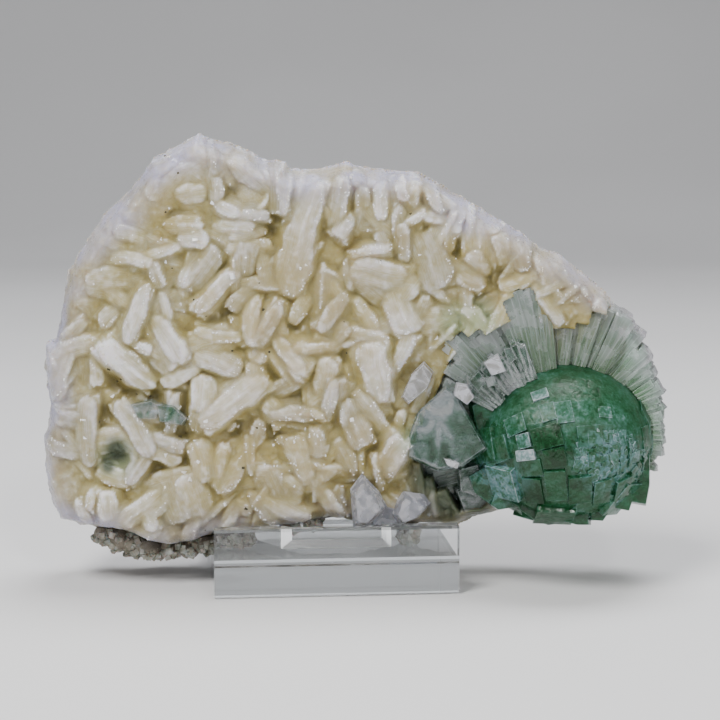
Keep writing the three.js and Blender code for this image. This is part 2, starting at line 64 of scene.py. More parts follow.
# Lights: name, place and size in metres, power in watts, and the colour if it isn't white.
SPECIMEN_MIDDLE = (0.0, 0.0, 0.05)
LIGHTS = [
    ("key", (-0.35, -0.5, 0.8), 0.4, 9),
    ("fill", (0.75, -0.6, 0.35), 0.6, 2.5),
    ("top", (0.1, 0.2, 0.9), 0.5, 8, (0.94, 0.96, 1.0)),
    ("glint", (0.2, -0.7, 0.55), 0.08, 1.5),
]

SKY = (0.9, 0.93, 1.0, 1)
SKY_STRENGTH = 0.25
# The floor, in metres: its front end, where it bends up, the bend, its top, and half its width.
FLOOR_START_Y = -1.6
BEND_Y = 0.9
BEND_RADIUS = 0.7
BEND_STEPS = 14
BACKDROP_TOP = (1.6, 2.4)
FLOOR_HALF = 2.5
FLOOR_DROP = 0.3 * MM

# Specimen, front to back
BED_FACE_Y = -11.0
BLADE_ROOT_Y = -6.0
SIDE_ROOT_Y = -8.0
GLASSY_ROOT_Y = -10.0

# Ball
BALL_CENTRE_PX = (560, 441)
BALL_Y = -8.5
BALL_RADII = np.array([19.4, 19.2, 17.2])
BALL_CRYSTALS = 72
BALL_CRYSTAL_SIDE = 5.8
BALL_CRYSTAL_LENGTH = 12
BALL_BACK_CUT = (90, 90, 50)

# Fan
FAN_FACE_Y = -10.5
FAN_BACK_Y = 3.5
FAN_INNER_PX = 70
FAN_FLARE = 0.62
FAN_TIP_LENGTH = 0.9
FAN_TIP_FALL = 2.2
FAN_STRIPS = 3
FAN_WARM_PX = [(575, 308, 26), (552, 330, 16), (596, 300, 18)]

# Blocky crystals: how far they reach back at full width, and the share of it at their root
BLOCK_END = 3.5
BLOCK_ROOT = 0.95
BEVEL = 0.16

# Stilbite blades: the two ends of the crest and the width in pixels, then the crest's height
# over the bed in millimetres, and for some the width at the start over that at the end.
BLADES_PX = [
    (205, 143, 178, 153, 20, 2.5), (172, 158, 150, 172, 22, 3.0), (147, 178, 134, 205, 24, 3.0),
    (130, 207, 108, 221, 22, 2.5), (112, 226, 92, 248, 24, 2.5), (87, 256, 77, 290, 24, 2.5),
    (215, 150, 240, 157, 16, 3.0), (190, 165, 205, 178, 26, 4.0), (160, 180, 152, 198, 20, 4.0),
    (175, 196, 203, 193, 20, 5.0), (213, 180, 216, 203, 14, 5.5), (213, 203, 240, 214, 13, 6.5),
    (238, 214, 268, 216, 12, 6.5), (281, 163, 284, 210, 10, 6.5, 2.0), (272, 167, 276, 190, 8, 4.5),
    (296, 176, 312, 184, 16, 4.0), (317, 188, 287, 290, 44, 6.8, 0.5),
    (262, 256, 268, 290, 18, 5.0), (327, 182, 320, 214, 16, 4.5),
    (341, 178, 333, 225, 22, 5.5), (352, 174, 362, 186, 16, 4.0), (350, 214, 338, 236, 16, 6.0),
    (362, 188, 358, 222, 16, 4.5), (381, 180, 382, 218, 16, 5.0), (400, 178, 405, 198, 14, 5.0),
    (402, 225, 404, 262, 13, 6.0), (416, 180, 411, 212, 11, 4.5), (430, 190, 455, 207, 14, 4.5),
    (424, 214, 452, 222, 12, 5.0), (380, 232, 388, 250, 12, 5.5), (352, 257, 388, 249, 9, 6.5),
    (355, 272, 402, 282, 30, 6.0), (395, 292, 413, 328, 32, 6.5), (346, 262, 352, 290, 14, 5.0),
    (420, 238, 436, 285, 38, 5.5), (452, 256, 458, 288, 14, 4.0), (478, 266, 476, 224, 36, 5.0),
    (500, 236, 508, 262, 22, 4.5), (520, 240, 522, 268, 24, 4.5), (545, 257, 550, 296, 24, 4.5),
    (566, 268, 573, 298, 22, 4.0), (586, 284, 592, 300, 18, 3.5), (425, 305, 456, 311, 14, 4.0),
    (445, 296, 468, 290, 14, 4.0), (411, 334, 391, 374, 14, 5.5, 1.3), (345, 333, 386, 340, 14, 6.0),
    (370, 347, 382, 402, 24, 7.0, 1.4), (378, 405, 376, 432, 20, 3.5), (346, 292, 322, 330, 16, 6.5),
    (318, 300, 326, 318, 16, 4.5), (340, 275, 335, 300, 14, 4.0), (290, 352, 345, 346, 12, 6.0),
    (274, 336, 303, 372, 18, 7.0, 0.75), (279, 303, 256, 346, 19, 7.0, 0.6), (254, 298, 252, 345, 18, 6.5),
    (250, 345, 262, 362, 20, 5.0), (245, 245, 242, 275, 26, 6.0), (236, 275, 197, 312, 15, 6.5),
    (215, 228, 252, 230, 24, 5.5), (210, 250, 180, 285, 36, 5.5), (165, 226, 200, 224, 20, 5.0),
    (178, 238, 205, 240, 22, 6.0), (110, 257, 150, 261, 13, 5.5), (150, 262, 162, 288, 14, 5.5),
    (115, 232, 145, 240, 18, 4.5), (90, 282, 128, 284, 34, 4.5), (75, 305, 100, 302, 12, 3.0),
    (68, 322, 88, 328, 26, 2.5), (147, 286, 127, 342, 19, 7.0), (162, 292, 168, 322, 10, 5.0),
    (152, 320, 180, 360, 20, 6.5), (104, 345, 150, 386, 25, 7.0), (134, 346, 150, 352, 12, 6.0),
    (196, 332, 242, 338, 13, 5.5), (198, 354, 240, 370, 24, 6.5), (198, 366, 164, 384, 18, 5.5),
    (204, 380, 202, 412, 24, 6.5), (203, 422, 264, 380, 25, 7.0), (185, 312, 205, 322, 20, 2.5),
    (232, 316, 242, 330, 12, 4.0), (270, 417, 316, 416, 16, 6.0), (272, 394, 300, 376, 22, 5.0),
    (330, 362, 318, 400, 20, 6.0), (334, 382, 326, 424, 15, 6.5), (345, 365, 352, 395, 16, 3.5),
    (350, 416, 362, 445, 27, 6.0), (337, 440, 352, 475, 20, 5.0), (401, 440, 380, 475, 24, 6.5),
    (404, 410, 398, 430, 14, 4.0), (120, 404, 150, 455, 20, 6.0), (148, 452, 128, 482, 18, 5.5),
    (74, 352, 72, 390, 42, 3.0), (95, 350, 96, 385, 14, 4.5), (86, 400, 88, 465, 22, 5.5),
    (59, 428, 61, 470, 24, 3.0), (64, 475, 68, 506, 22, 3.0), (98, 470, 128, 480, 20, 4.5),
    (97, 488, 88, 510, 12, 5.0), (104, 512, 135, 510, 22, 4.5), (140, 503, 152, 530, 16, 5.0),
    (148, 438, 182, 450, 17, 5.5), (165, 485, 178, 520, 34, 5.0), (190, 478, 204, 516, 34, 5.5),
    (198, 445, 206, 480, 30, 5.5), (226, 445, 218, 490, 18, 5.0), (232, 503, 250, 512, 20, 4.0),
    (248, 436, 252, 475, 12, 5.0), (264, 472, 278, 508, 34, 5.0), (292, 442, 308, 486, 26, 6.0),
    (314, 432, 324, 470, 20, 5.5), (320, 480, 324, 502, 24, 5.0), (338, 496, 344, 512, 10, 4.0),
]

# Pale prisms that radiate from the ball: bearing in degrees counter-clockwise from +X and outer
# radius and width in pixels, then how far the front face stands before the fan's own face.
FAN_PRISMS_PX = [
    (-14, 105, 13, 0.0), (-6, 107, 15, 1.0), (3, 108, 16, 0.4), (12, 109, 16, 1.4), (21, 112, 16, 0.6),
    (30, 117, 17, 1.6), (39, 121, 18, 0.8), (48, 128, 18, 2.0), (56, 139, 19, 1.4), (63, 147, 19, 2.4),
    (70, 149, 18, 1.6), (77, 140, 16, 2.4), (83, 125, 13, 1.4), (89, 119, 13, 2.4), (94, 126, 12, 2.0),
    (99, 160, 18, 4.4), (104, 164, 20, 4.7), (109, 166, 20, 5.0), (114, 158, 17, 4.6), (119, 137, 18, 3.4),
    (125, 146, 19, 4.4), (131, 155, 20, 3.8), (138, 158, 18, 4.4),
]

# More pale prisms, among and under the clear crystals at the ball's left.
LOW_PRISMS_PX = [
    (145, 143, 17, 4.2), (152, 140, 17, 3.2), (159, 139, 18, 1.6), (166, 143, 18, 0.4), (173, 148, 18, 0.6),
    (180, 152, 18, 0.0), (187, 152, 18, 0.4), (194, 146, 18, -0.3), (201, 138, 18, 0.1), (208, 128, 18, -0.4),
]
ALL_PRISMS_PX = FAN_PRISMS_PX + LOW_PRISMS_PX

# Blocky crystals: outline in pixels, depth of the face, and the share that the face is drawn in.
SIDE_CRYSTALS_PX = [
    ([(401, 397), (411, 374), (424, 361), (434, 372), (428, 388), (408, 405)], -18.5, 0.12),
]
RIM_BLOCKS_PX = [
    ([(456, 382), (467, 384), (475, 397), (467, 405), (453, 395)], -21.5, 0.12),
    ([(483, 362), (498, 353), (506, 371), (491, 376)], -21.5, 0.1),
    ([(443, 457), (450, 458), (460, 462), (458, 468), (446, 464)], -21.6, 0.15),
]
GLASS_BLOCKS_PX = [
    ([(502, 347), (511, 346), (517, 358), (508, 366)], -18.5, 0.15),
    ([(484, 377), (494, 375), (497, 384), (487, 387)], -22.0, 0.1),
    ([(468, 380), (478, 369), (487, 380), (478, 392)], -20.0, 0.1),
    ([(456, 466), (478, 460), (486, 480), (476, 498), (458, 492)], -16.5, 0.2),
    ([(452, 486), (476, 482), (492, 500), (482, 510), (462, 512)], -14.0, 0.2),
]
# The large clear crystal: the outline of its front, which leans outwards from left to right.
WEDGE_PX = [
    (446, 386), (417, 412), (408, 438), (407, 457), (438, 471), (462, 467), (488, 449), (458, 397),
]
WEDGE_FACE_Y = -17.0
WEDGE_LEAN = 0.05
WEDGE_RIM = 1.3
WEDGE_FRONT = 0.93
WEDGE_NET = 1.2
RIM_HAZE = 0.14
# The band of glassy prisms round the dome's left: first and last bearing, number, and reach.
COLLAR_BEARINGS = (113, 152)
COLLAR_PRISMS = 13
COLLAR_OUTER_PX = 117
COLLAR_FACE_Y = -17.0
COLLAR_BACK_Y = -8.0
COLLAR_BEVEL = 0.24
WHITE_CRYSTALS_PX = [
    ([(362, 473), (379, 491), (387, 506), (369, 526), (353, 527), (350, 489)], -20.5, 0.35),
    ([(397, 500), (403, 491), (424, 494), (431, 503), (418, 518), (400, 525), (392, 514)], -19.0, 0.35),
    ([(372, 500), (398, 506), (402, 526), (370, 526)], -15.0, 0.2),
]
GLASSY_CRYSTALS_PX = [
    ([(128, 403), (152, 398), (164, 405), (158, 420), (136, 420)], -16.5, 0.2),
    ([(154, 402), (174, 403), (190, 418), (184, 426), (158, 422)], -17.5, 0.2),
]

# Faces of the ball that stand out: middle, width and height in pixels, turn in degrees, how
# proud in millimetres, and the tone from deep green, below 0, to white, 0.5.
BALL_FACES_PX = [
    (547, 437, 31, 23, 13, 0.35, -0.2), (555, 458, 23, 20, 13, 0.2, -0.24), (571, 452, 8, 10, 40, 0.1, -0.2),
    (524, 441, 14, 15, 13, 0.5, 0.22), (526, 455, 20, 11, 10, 0.6, 0.4),
    (503, 483, 34, 38, 20, 0.5, 0.2), (479, 482, 17, 26, 15, 0.0, 0.02),
    (540, 395, 17, 12, 12, 0.3, 0.34), (564, 412, 18, 24, 8, 0.1, 0.08),
    (605, 412, 15, 12, 5, 0.06, 0.08), (548, 412, 16, 20, 12, 0.08, 0.0),
    (532, 468, 21, 17, 15, 0.15, -0.08), (533, 491, 20, 32, 12, 0.2, -0.2),
    (556, 486, 22, 36, 8, 0.15, -0.08), (580, 490, 24, 34, 3, 0.25, -0.16),
    (602, 492, 19, 32, 0, 0.2, -0.08), (622, 488, 20, 28, -4, 0.5, -0.06),
    (495, 451, 36, 26, 22, 0.1, -0.04), (515, 425, 22, 20, 14, 0.1, 0.04), (590, 436, 26, 22, 6, 0.05, -0.02),
    # The six small faces from here on are white as painted glints of tiny mirror-like faces that catch the
    # light.
    (572, 358, 9, 2, 0, 0.3, 0.5), (533, 369, 6, 3, -8, 0.2, 0.3), (521, 378, 5, 2, 0, 0.2, 0.4),
    (505, 386, 3, 3, 20, 0.2, 0.4), (478, 421, 5, 4, 30, 0.3, 0.25), (598, 430, 3, 4, 0, 0.2, 0.3),
]
# Blocks at the ball's left and along its jagged lower edge: as above, and the tone.
BALL_BLOCKS_PX = [
    ([(468, 402), (484, 392), (502, 404), (502, 440), (476, 440)], -17.0, 0.2, -0.04),
    ([(467, 474), (473, 492), (490, 505), (503, 482), (484, 464)], -17.5, 0.12, -0.06),
    ([(488, 504), (497, 510), (514, 507), (521, 484), (498, 478)], -18.5, 0.15, -0.08),
    ([(513, 506), (528, 512), (534, 520), (549, 516), (553, 490), (518, 486)], -19.0, 0.2, -0.16),
    ([(548, 514), (562, 521), (577, 525), (591, 525), (592, 492), (550, 488)], -18.5, 0.2, -0.12),
    ([(588, 520), (594, 519), (602, 521), (611, 508), (614, 484), (590, 488)], -19.0, 0.15, -0.08),
    ([(608, 507), (629, 511), (632, 502), (632, 478), (607, 482)], -18.0, 0.15, -0.12),
    ([(629, 503), (646, 506), (650, 484), (650, 450), (630, 446), (624, 484)], -16.0, 0.12, -0.08),
    ([(632, 452), (650, 466), (651, 420), (640, 398), (630, 420)], -15.0, 0.25, -0.02),
]
BALL_HAZE_PX = [
    (500, 430, 22), (577, 412, 16), (612, 414, 14), (490, 398, 14), (545, 372, 12), (600, 462, 26),
]
# Spots darkened as painted shade: the dome's top, the lower right and the bottom.
BALL_SHADE_PX = [(572, 376, 44), (640, 485, 22), (565, 500, 34)]
BALL_TEAL_PX = [(608, 458, 34), (503, 483, 26), (480, 470, 14)]
# The patch of small boxes at the ball's right: middle and half sizes, then the grid they are on.
PATCH_PX = (612, 460, 38, 29)
PATCH_START_PX = (577, 433)
PATCH_STEP_PX = (4.4, 4.6)
PATCH_GRID = (17, 12)

# Stilbite plate: its outline, and how its front and side are made.
PLATE_OUTLINE_PX = [
    (199, 132), (209, 139), (231, 143), (252, 152), (263, 160), (286, 161), (291, 168), (320, 169),
    (346, 162), (368, 168), (396, 171), (419, 172), (440, 184), (468, 200), (493, 216), (518, 230),
    (542, 248), (561, 255), (587, 277), (604, 290), (612, 301), (622, 322), (626, 352), (622, 420),
    (606, 470), (560, 496), (505, 508), (470, 516), (455, 524), (420, 521), (385, 520), (352, 520),
    (330, 516), (305, 521), (270, 526), (240, 530), (215, 532), (195, 540), (172, 544), (150, 540),
    (133, 532), (115, 526), (97, 526), (78, 522), (61, 518), (52, 498), (46, 462), (45, 435),
    (53, 405), (46, 372), (47, 342), (57, 338), (64, 300), (70, 270), (84, 245), (104, 215),
    (127, 195), (142, 175), (152, 160), (176, 146),
]
# The relief's grid, how high it is filled, and how its blades fall off: slopes of their sides and
# ends. The share of the blades' height that stays is less by CALM_SHARE near the top left.
CELL = 0.325
BED_FILL = 2.7
HOLLOW_DEPTH = 1.3
POCKET = 6.0
SMALL_BLADES = 560
RELIEF_SHARE = 0.74
CALM_SHARE = 0.35
STEEP_SIDE = 2.0
GENTLE_SIDE = 0.6
END_SLOPE = 1.8
SPARKLES = 1300
SPARKLE_SINK = 0.02
# The plate's rounded rim and its broken side. FIRST_ROW is the share of the side that the first
# row of faces takes, thin so that the front's marks end there.
RIM_WIDTH = 4.0
BED_EDGE_Y = -4.5
BED_BACK_Y = 3.7
WALL_ROWS = 12
FIRST_ROW = 0.015
SIDE_REACH = 1.6
# Yellow stains on the plate, and broad spots of painted shade over its middle and bottom: middle and radius
# in pixels. The pale band that runs in from the plate's rim is a greyish rind, with painted cool rim light at
# the upper left.
RIM_BAND_DEPTH = 9.0
STAINS_AND_SHADE_PX = [
    (300, 320, 95), (240, 470, 75), (500, 275, 50), (350, 470, 70), (590, 285, 22), (300, 440, 50),
    (172, 214, 26), (165, 237, 14), (270, 240, 18), (350, 250, 22), (456, 250, 20), (495, 295, 30),
    (572, 300, 20), (205, 300, 16), (225, 345, 14), (540, 262, 26), (400, 240, 16), (300, 310, 22),
]
GREEN_PX = [(116, 458, 22), (456, 322, 22), (415, 440, 20), (480, 320, 24)]
# Dark olive ground, partly painted shade under the clear crystals at the bottom: middle and radius in pixels.
OLIVE_AND_SHADE_PX = [(430, 478, 30), (450, 500, 30), (478, 512, 22), (117, 450, 15), (108, 466, 9)]
# Deep gaps between the blades, lowered and darkened with painted shade: middle and radius in pixels.
HOLLOWS_PX = [
    (184, 403, 14), (118, 381, 10), (117, 452, 14), (263, 241, 10), (154, 395, 9), (99, 421, 9),
    (277, 379, 10), (379, 441, 11), (481, 306, 13), (274, 215, 9), (187, 417, 9), (225, 312, 10),
    (193, 380, 9), (231, 194, 8), (346, 352, 9), (157, 467, 10), (129, 388, 10), (108, 411, 8),
    (177, 217, 9), (179, 431, 9), (233, 426, 10), (186, 463, 8), (454, 251, 10),
    (271, 230, 8), (221, 271, 8), (273, 431, 9), (355, 404, 8), (497, 277, 11), (120, 308, 8),
    (297, 402, 9), (311, 367, 9), (294, 323, 8), (246, 369, 8), (214, 316, 8), (393, 414, 8),
]
# The curved plate near the top left: middle and radius in pixels, then its rise in millimetres.
DISH = (243, 189, 29, 4.4)

# Host rock: where its front ends, how far it keeps inside the plate's outline, and the druse's
# lumps with their radius in millimetres.
ROCK_FRONT_Y = 3.4
ROCK_VOXEL = 0.8
MATRIX_MARGIN = 1.3
DRUSE_LUMPS_PX = [
    (104, 533, 2.2), (118, 539, 2.8), (134, 544, 2.8), (152, 549, 2.6), (170, 549, 2.0),
    (188, 547, 2.0), (205, 543, 2.4), (228, 537, 2.6), (243, 536, 2.2), (408, 532, 2.4),
    (312, 519, 2.0), (290, 524, 1.8),
]
DRUSE_Y = -6
DRUSE_CRYSTALS = 48

# Small dark grains, and single bright crystals with their width in pixels.
SPECKS_PX = [
    (109, 369), (118, 381), (121, 379), (153, 397), (150, 396), (137, 394), (99, 422), (188, 417),
    (165, 212), (172, 268), (194, 300), (206, 316), (259, 283), (347, 353), (381, 261), (411, 214),
    (344, 322), (232, 351), (180, 437), (257, 428), (243, 468), (246, 509), (205, 530), (165, 156),
    (178, 173), (269, 352), (264, 310),
]
FACET_SHARE = 0.6
FACETS_PX = [
    (231, 276, 13), (198, 462, 6), (184, 473, 8), (189, 480, 9), (274, 445, 6), (195, 240, 9), (436, 338, 8),
    (213, 203, 8), (92, 349, 6), (84, 420, 7), (85, 438, 6), (166, 262, 6), (206, 421, 8), (300, 268, 7),
    (420, 255, 6), (352, 420, 7), (112, 396, 7), (133, 505, 6), (166, 455, 7), (137, 348, 9), (306, 265, 5),
]

# Marks in the large clear crystal: bright haze, and spots of painted shade where it looks dark.
CLEAR_HAZE_PX = [(437, 405, 30)]
CLEAR_SHADE_PX = [(424, 454, 16), (411, 440, 9), (440, 455, 12), (472, 425, 22), (470, 446, 16)]

# Colours from dark to light, each at its level.
GREENS = [
    (0.0, (0.004, 0.03, 0.006)), (0.2, (0.007, 0.055, 0.014)), (0.36, (0.016, 0.11, 0.036)),
    (0.48, (0.032, 0.165, 0.075)), (0.58, (0.065, 0.22, 0.14)), (0.68, (0.15, 0.34, 0.28)),
    (0.82, (0.42, 0.58, 0.61)), (0.96, (0.86, 0.91, 0.95)),
]
CLEAR = [
    (0.0, (0.03, 0.12, 0.05)), (0.22, (0.10, 0.25, 0.16)), (0.38, (0.25, 0.40, 0.34)),
    (0.52, (0.42, 0.53, 0.53)), (0.68, (0.66, 0.74, 0.78)), (0.9, (0.97, 0.98, 1.0)),
]
GLASSY = [
    (0.2, (0.03, 0.10, 0.04)), (0.42, (0.12, 0.24, 0.16)), (0.6, (0.36, 0.49, 0.44)),
    (0.85, (0.95, 0.97, 1.0)),
]
FROSTED = [(0.2, (0.34, 0.33, 0.30)), (0.45, (0.50, 0.49, 0.48)), (0.75, (0.84, 0.84, 0.90))]
STILBITE_COLOURS = [
    (0.0, (0.22, 0.155, 0.035)), (0.2, (0.30, 0.235, 0.07)), (0.4, (0.37, 0.31, 0.13)),
    (0.55, (0.435, 0.385, 0.22)), (0.75, (0.54, 0.505, 0.41)), (1.0, (0.70, 0.675, 0.68)),
]
ROCK_COLOURS = [
    (0.36, (0.05, 0.042, 0.032)), (0.46, (0.12, 0.10, 0.075)), (0.54, (0.20, 0.175, 0.135)),
    (0.66, (0.38, 0.34, 0.27)),
]
DRUSE_COLOURS = [(0.35, (0.15, 0.14, 0.10)), (0.5, (0.30, 0.29, 0.24)), (0.65, (0.50, 0.49, 0.45))]
WHITE_COLOURS = [(0.35, (0.34, 0.35, 0.40)), (0.5, (0.50, 0.51, 0.57)), (0.66, (0.74, 0.74, 0.80))]
SPARKLE_COLOURS = [(0.35, (0.74, 0.70, 0.62)), (0.6, (0.90, 0.90, 0.92))]
SPECK_COLOURS = [(0.35, (0.02, 0.018, 0.01)), (0.65, (0.10, 0.08, 0.03))]
PALE_INNER = (0.11, 0.23, 0.10)
PALE_OUTER = (0.44, 0.52, 0.48)
FLOOR_COLOURS = [(0.4, (0.74, 0.73, 0.72)), (0.6, (0.77, 0.76, 0.75))]

# What the clear materials absorb: a colour, and a density per metre.
GREEN_ABSORPTION = ((0.10, 0.62, 0.34), 70)
PALE_ABSORPTION = ((0.45, 0.80, 0.60), 30)
CLEAR_ABSORPTION = ((0.45, 0.78, 0.68), 12)
WHITE_ABSORPTION = ((0.8, 0.82, 0.88), 30)
ACRYLIC_ABSORPTION = ((0.80, 0.92, 0.96), 4)


def traced(px, py, y):
    """The place, in millimetres, of a point of the picture that lies at depth y."""
    aim = ray(px, py)
    return EYE + (y - EYE[1]) / aim[1] * aim


def ray(px, py):
    """The direction from the eye through a point of the picture."""
    u = (px - PICTURE_MIDDLE) / FOCAL_PX
    w = (PICTURE_MIDDLE - py) / FOCAL_PX
    forward = math.cos(LOOK_DOWN) + w * math.sin(LOOK_DOWN)
    return np.array([u, forward, w * math.cos(LOOK_DOWN) - math.sin(LOOK_DOWN)])


def pixel(y):
    """Millimetres that a pixel spans at depth y."""
    return (y - EYE[1]) / FOCAL_PX


BALL_MIDDLE = traced(*BALL_CENTRE_PX, BALL_Y)
BED_BALL_MIDDLE = traced(*BALL_CENTRE_PX, BED_FACE_Y)


def sequence(seed):
    """Park-Miller numbers from 0 to 1, the same on every run."""
    state = seed
    while True:
        state = state * 16807 % 2147483647
        yield state / 2147483647


def noise(points, size, seed=0):
    """Smooth noise from -1 to 1 over points in millimetres, with swells about size across."""
    place = np.asarray(points) / size + 17.31 * seed
    cell = np.floor(place)
    share = place - cell
    share = share * share * (3 - 2 * share)
    total = np.zeros(len(place))
    for corner in np.ndindex(2, 2, 2):
        value = np.sin((cell + corner) @ [127.1, 311.7, 74.7] + seed) * 43758.5453
        weight = np.where(corner, share, 1 - share).prod(axis=1)
        total += (value - np.floor(value)) * weight
    return 2 * total - 1


def smooth_step(value, low, high):
    share = np.clip((value - low) / (high - low), 0, 1)
    return share * share * (3 - 2 * share)


def unit(vector):
    return vector / np.linalg.norm(vector)


# Meshes


def linked(name, data):
    """A new object in the scene that shows the mesh, lamp or camera."""
    obj = bpy.data.objects.new(name, data)
    bpy.context.scene.collection.objects.link(obj)
    return obj


def mesh_of(name, vertices, faces):
    mesh = bpy.data.meshes.new(name)
    mesh.from_pydata((np.asarray(vertices) * MM).tolist(), [], faces)
    return mesh


def mark(mesh, name, values):
    """Stores one number, or one vector, for each vertex."""
    values = np.asarray(values, dtype=np.float32)
    if values.ndim == 1:
        mesh.attributes.new(name, "FLOAT", "POINT").data.foreach_set("value", values)
    else:
        mesh.attributes.new(name, "FLOAT_VECTOR", "POINT").data.foreach_set("vector", values.ravel())


def points_of(mesh):
    """A mesh's vertices in millimetres."""
    flat = np.empty(len(mesh.vertices) * 3)
    mesh.vertices.foreach_get("co", flat)
    return flat.reshape(-1, 3) / MM


def normals_of(mesh):
    flat = np.empty(len(mesh.vertices) * 3)
    mesh.vertices.foreach_get("normal", flat)
    return flat.reshape(-1, 3)


def move_points(mesh, points):
    mesh.vertices.foreach_set("co", (points * MM).ravel())
    mesh.update()


def written(name, bm):
    mesh = bpy.data.meshes.new(name)
    bm.to_mesh(mesh)
    bm.free()
    return mesh


def add_box(bm, size, shape, turn, place):
    """Adds a turned box, in millimetres."""
    made = bmesh.ops.create_cube(bm, size=size)["verts"]
    bmesh.ops.scale(bm, vec=shape, verts=made)
    bmesh.ops.rotate(bm, verts=made, matrix=turn, cent=(0, 0, 0))
    bmesh.ops.translate(bm, verts=made, vec=place)


def any_turn(random, least=0.0, most=math.pi):
    axis = Vector(unit(random.normal(size=3)))
    return Quaternion(axis, random.uniform(least, most)).to_matrix()


def boxes_mesh(name, bm, bevel=0.0):
    """The mesh of what was made in millimetres, with its edges bevelled this wide."""
    if bevel:
        bmesh.ops.bevel(bm, geom=bm.edges[:], offset=bevel, segments=1, affect="EDGES")
    bmesh.ops.scale(bm, vec=(MM, MM, MM), verts=bm.verts[:])
    return written(name, bm)


def evaluated(obj):
    """The mesh that an object's modifiers give."""
    graph = bpy.context.evaluated_depsgraph_get()
    return bpy.data.meshes.new_from_object(obj.evaluated_get(graph))


def fused(name, meshes, cutters=()):
    """The union of closed meshes, less the cutters, as one mesh."""
    base = linked(name, meshes[0])
    made = [base]
    for operation, others in (("UNION", meshes[1:]), ("DIFFERENCE", cutters)):
        if not others:
            continue
        tools = bpy.data.collections.new(name)
        bpy.context.scene.collection.children.link(tools)
        for mesh in others:
            tool = bpy.data.objects.new(name, mesh)
            tools.objects.link(tool)
            made.append(tool)
        modifier = base.modifiers.new(operation, "BOOLEAN")
        modifier.operation = operation
        modifier.solver = "MANIFOLD"
        modifier.operand_type = "COLLECTION"
        modifier.collection = tools
    mesh = evaluated(base)
    mesh.materials.clear()
    for obj in made:
        bpy.data.objects.remove(obj)
    return mesh


def bevelled(bm, width=BEVEL, tone=0.0):
    """Rounds the edges of a convex block a little and gives its mesh. The block is in millimetres.

    The bevels' faces get the mark called edge, and every face the block's own tone.
    """
    bmesh.ops.dissolve_limit(bm, angle_limit=math.radians(2), verts=bm.verts[:], edges=bm.edges[:])
    edge = bm.faces.layers.float.new("edge")
    tones = bm.faces.layers.float.new("tone")
    made = bmesh.ops.bevel(
        bm, geom=bm.edges[:], offset=width, segments=2, profile=0.6, affect="EDGES", clamp_overlap=True
    )
    for face in made["faces"]:
        face[edge] = 1
    for face in bm.faces:
        face[tones] = tone
    bmesh.ops.triangulate(bm, faces=bm.faces[:])
    bmesh.ops.recalc_face_normals(bm, faces=bm.faces[:])
    return boxes_mesh("block", bm)


def hull(points, width=BEVEL, tone=0.0):
    bm = bmesh.new()
    for point in points:
        bm.verts.new(point)
    made = bmesh.ops.convex_hull(bm, input=bm.verts[:])
    spare = {item for item in made["geom_interior"] + made["geom_unused"] if item.is_valid}
    bmesh.ops.delete(bm, geom=[item for item in spare if isinstance(item, bmesh.types.BMVert)])
    return bevelled(bm, width, tone)


def ellipsoid(middle, radii, rings=5):
    bm = bmesh.new()
    bmesh.ops.create_icosphere(bm, subdivisions=rings, radius=1)
    bmesh.ops.scale(bm, vec=[MM * radius for radius in radii], verts=bm.verts[:])
    bmesh.ops.translate(bm, vec=[MM * value for value in middle], verts=bm.verts[:])
    return written("ellipsoid", bm)


def bar(middle, side_axis, up_axis, sizes, width=BEVEL, tone=0.0):
    """A bevelled square bar whose top is at the middle point; it runs inwards from there."""
    out = np.cross(side_axis, up_axis)
    corners = [
        middle + a * side_axis * sizes[0] / 2 + b * up_axis * sizes[1] / 2 - c * out * sizes[2]
        for a in (-1, 1) for b in (-1, 1) for c in (0, 1)
    ]
    return hull(corners, width, tone)


def softened(node, voxel):
    """A copy of a CAD node's surface in an even, finer net."""
    obj = linked(node + "_copy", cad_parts[node].data.copy())
    modifier = obj.modifiers.new("net", "REMESH")
    modifier.mode = "VOXEL"
    modifier.voxel_size = voxel * MM
    mesh = evaluated(obj)
    bpy.data.objects.remove(obj)
    mesh.materials.clear()
    return mesh


def piece(name, mesh, material, node, smooth=True):
    """Makes the mesh a piece of the object, which stands for the node."""
    obj = linked(name, mesh)
    mesh.materials.append(material)
    if smooth:
        mesh.shade_smooth()
    else:
        mesh.shade_flat()
    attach(obj, "root")
    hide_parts(node)


def crumbs(name, mesh, material, node):
    """A piece of many small crystals with flat faces."""
    piece(name, mesh, material, node, smooth=False)


def crystals(name, mesh, material, node, degrees=30):
    """A piece whose edges sharper than the angle stay crisp, and the rest smooth."""
    mesh.shade_smooth()
    mesh.set_sharp_from_angle(angle=math.radians(degrees))
    piece(name, mesh, material, node)


def divided(mesh, longest):
    """The mesh with no edge much longer than this many millimetres."""
    bm = bmesh.new()
    bm.from_mesh(mesh)
    for _ in range(4):
        long = [edge for edge in bm.edges if edge.calc_length() > longest * MM]
        bmesh.ops.subdivide_edges(bm, edges=long, cuts=1)
        bmesh.ops.triangulate(bm, faces=bm.faces[:])
    bm.to_mesh(mesh)
    bm.free()
    return mesh


# Materials


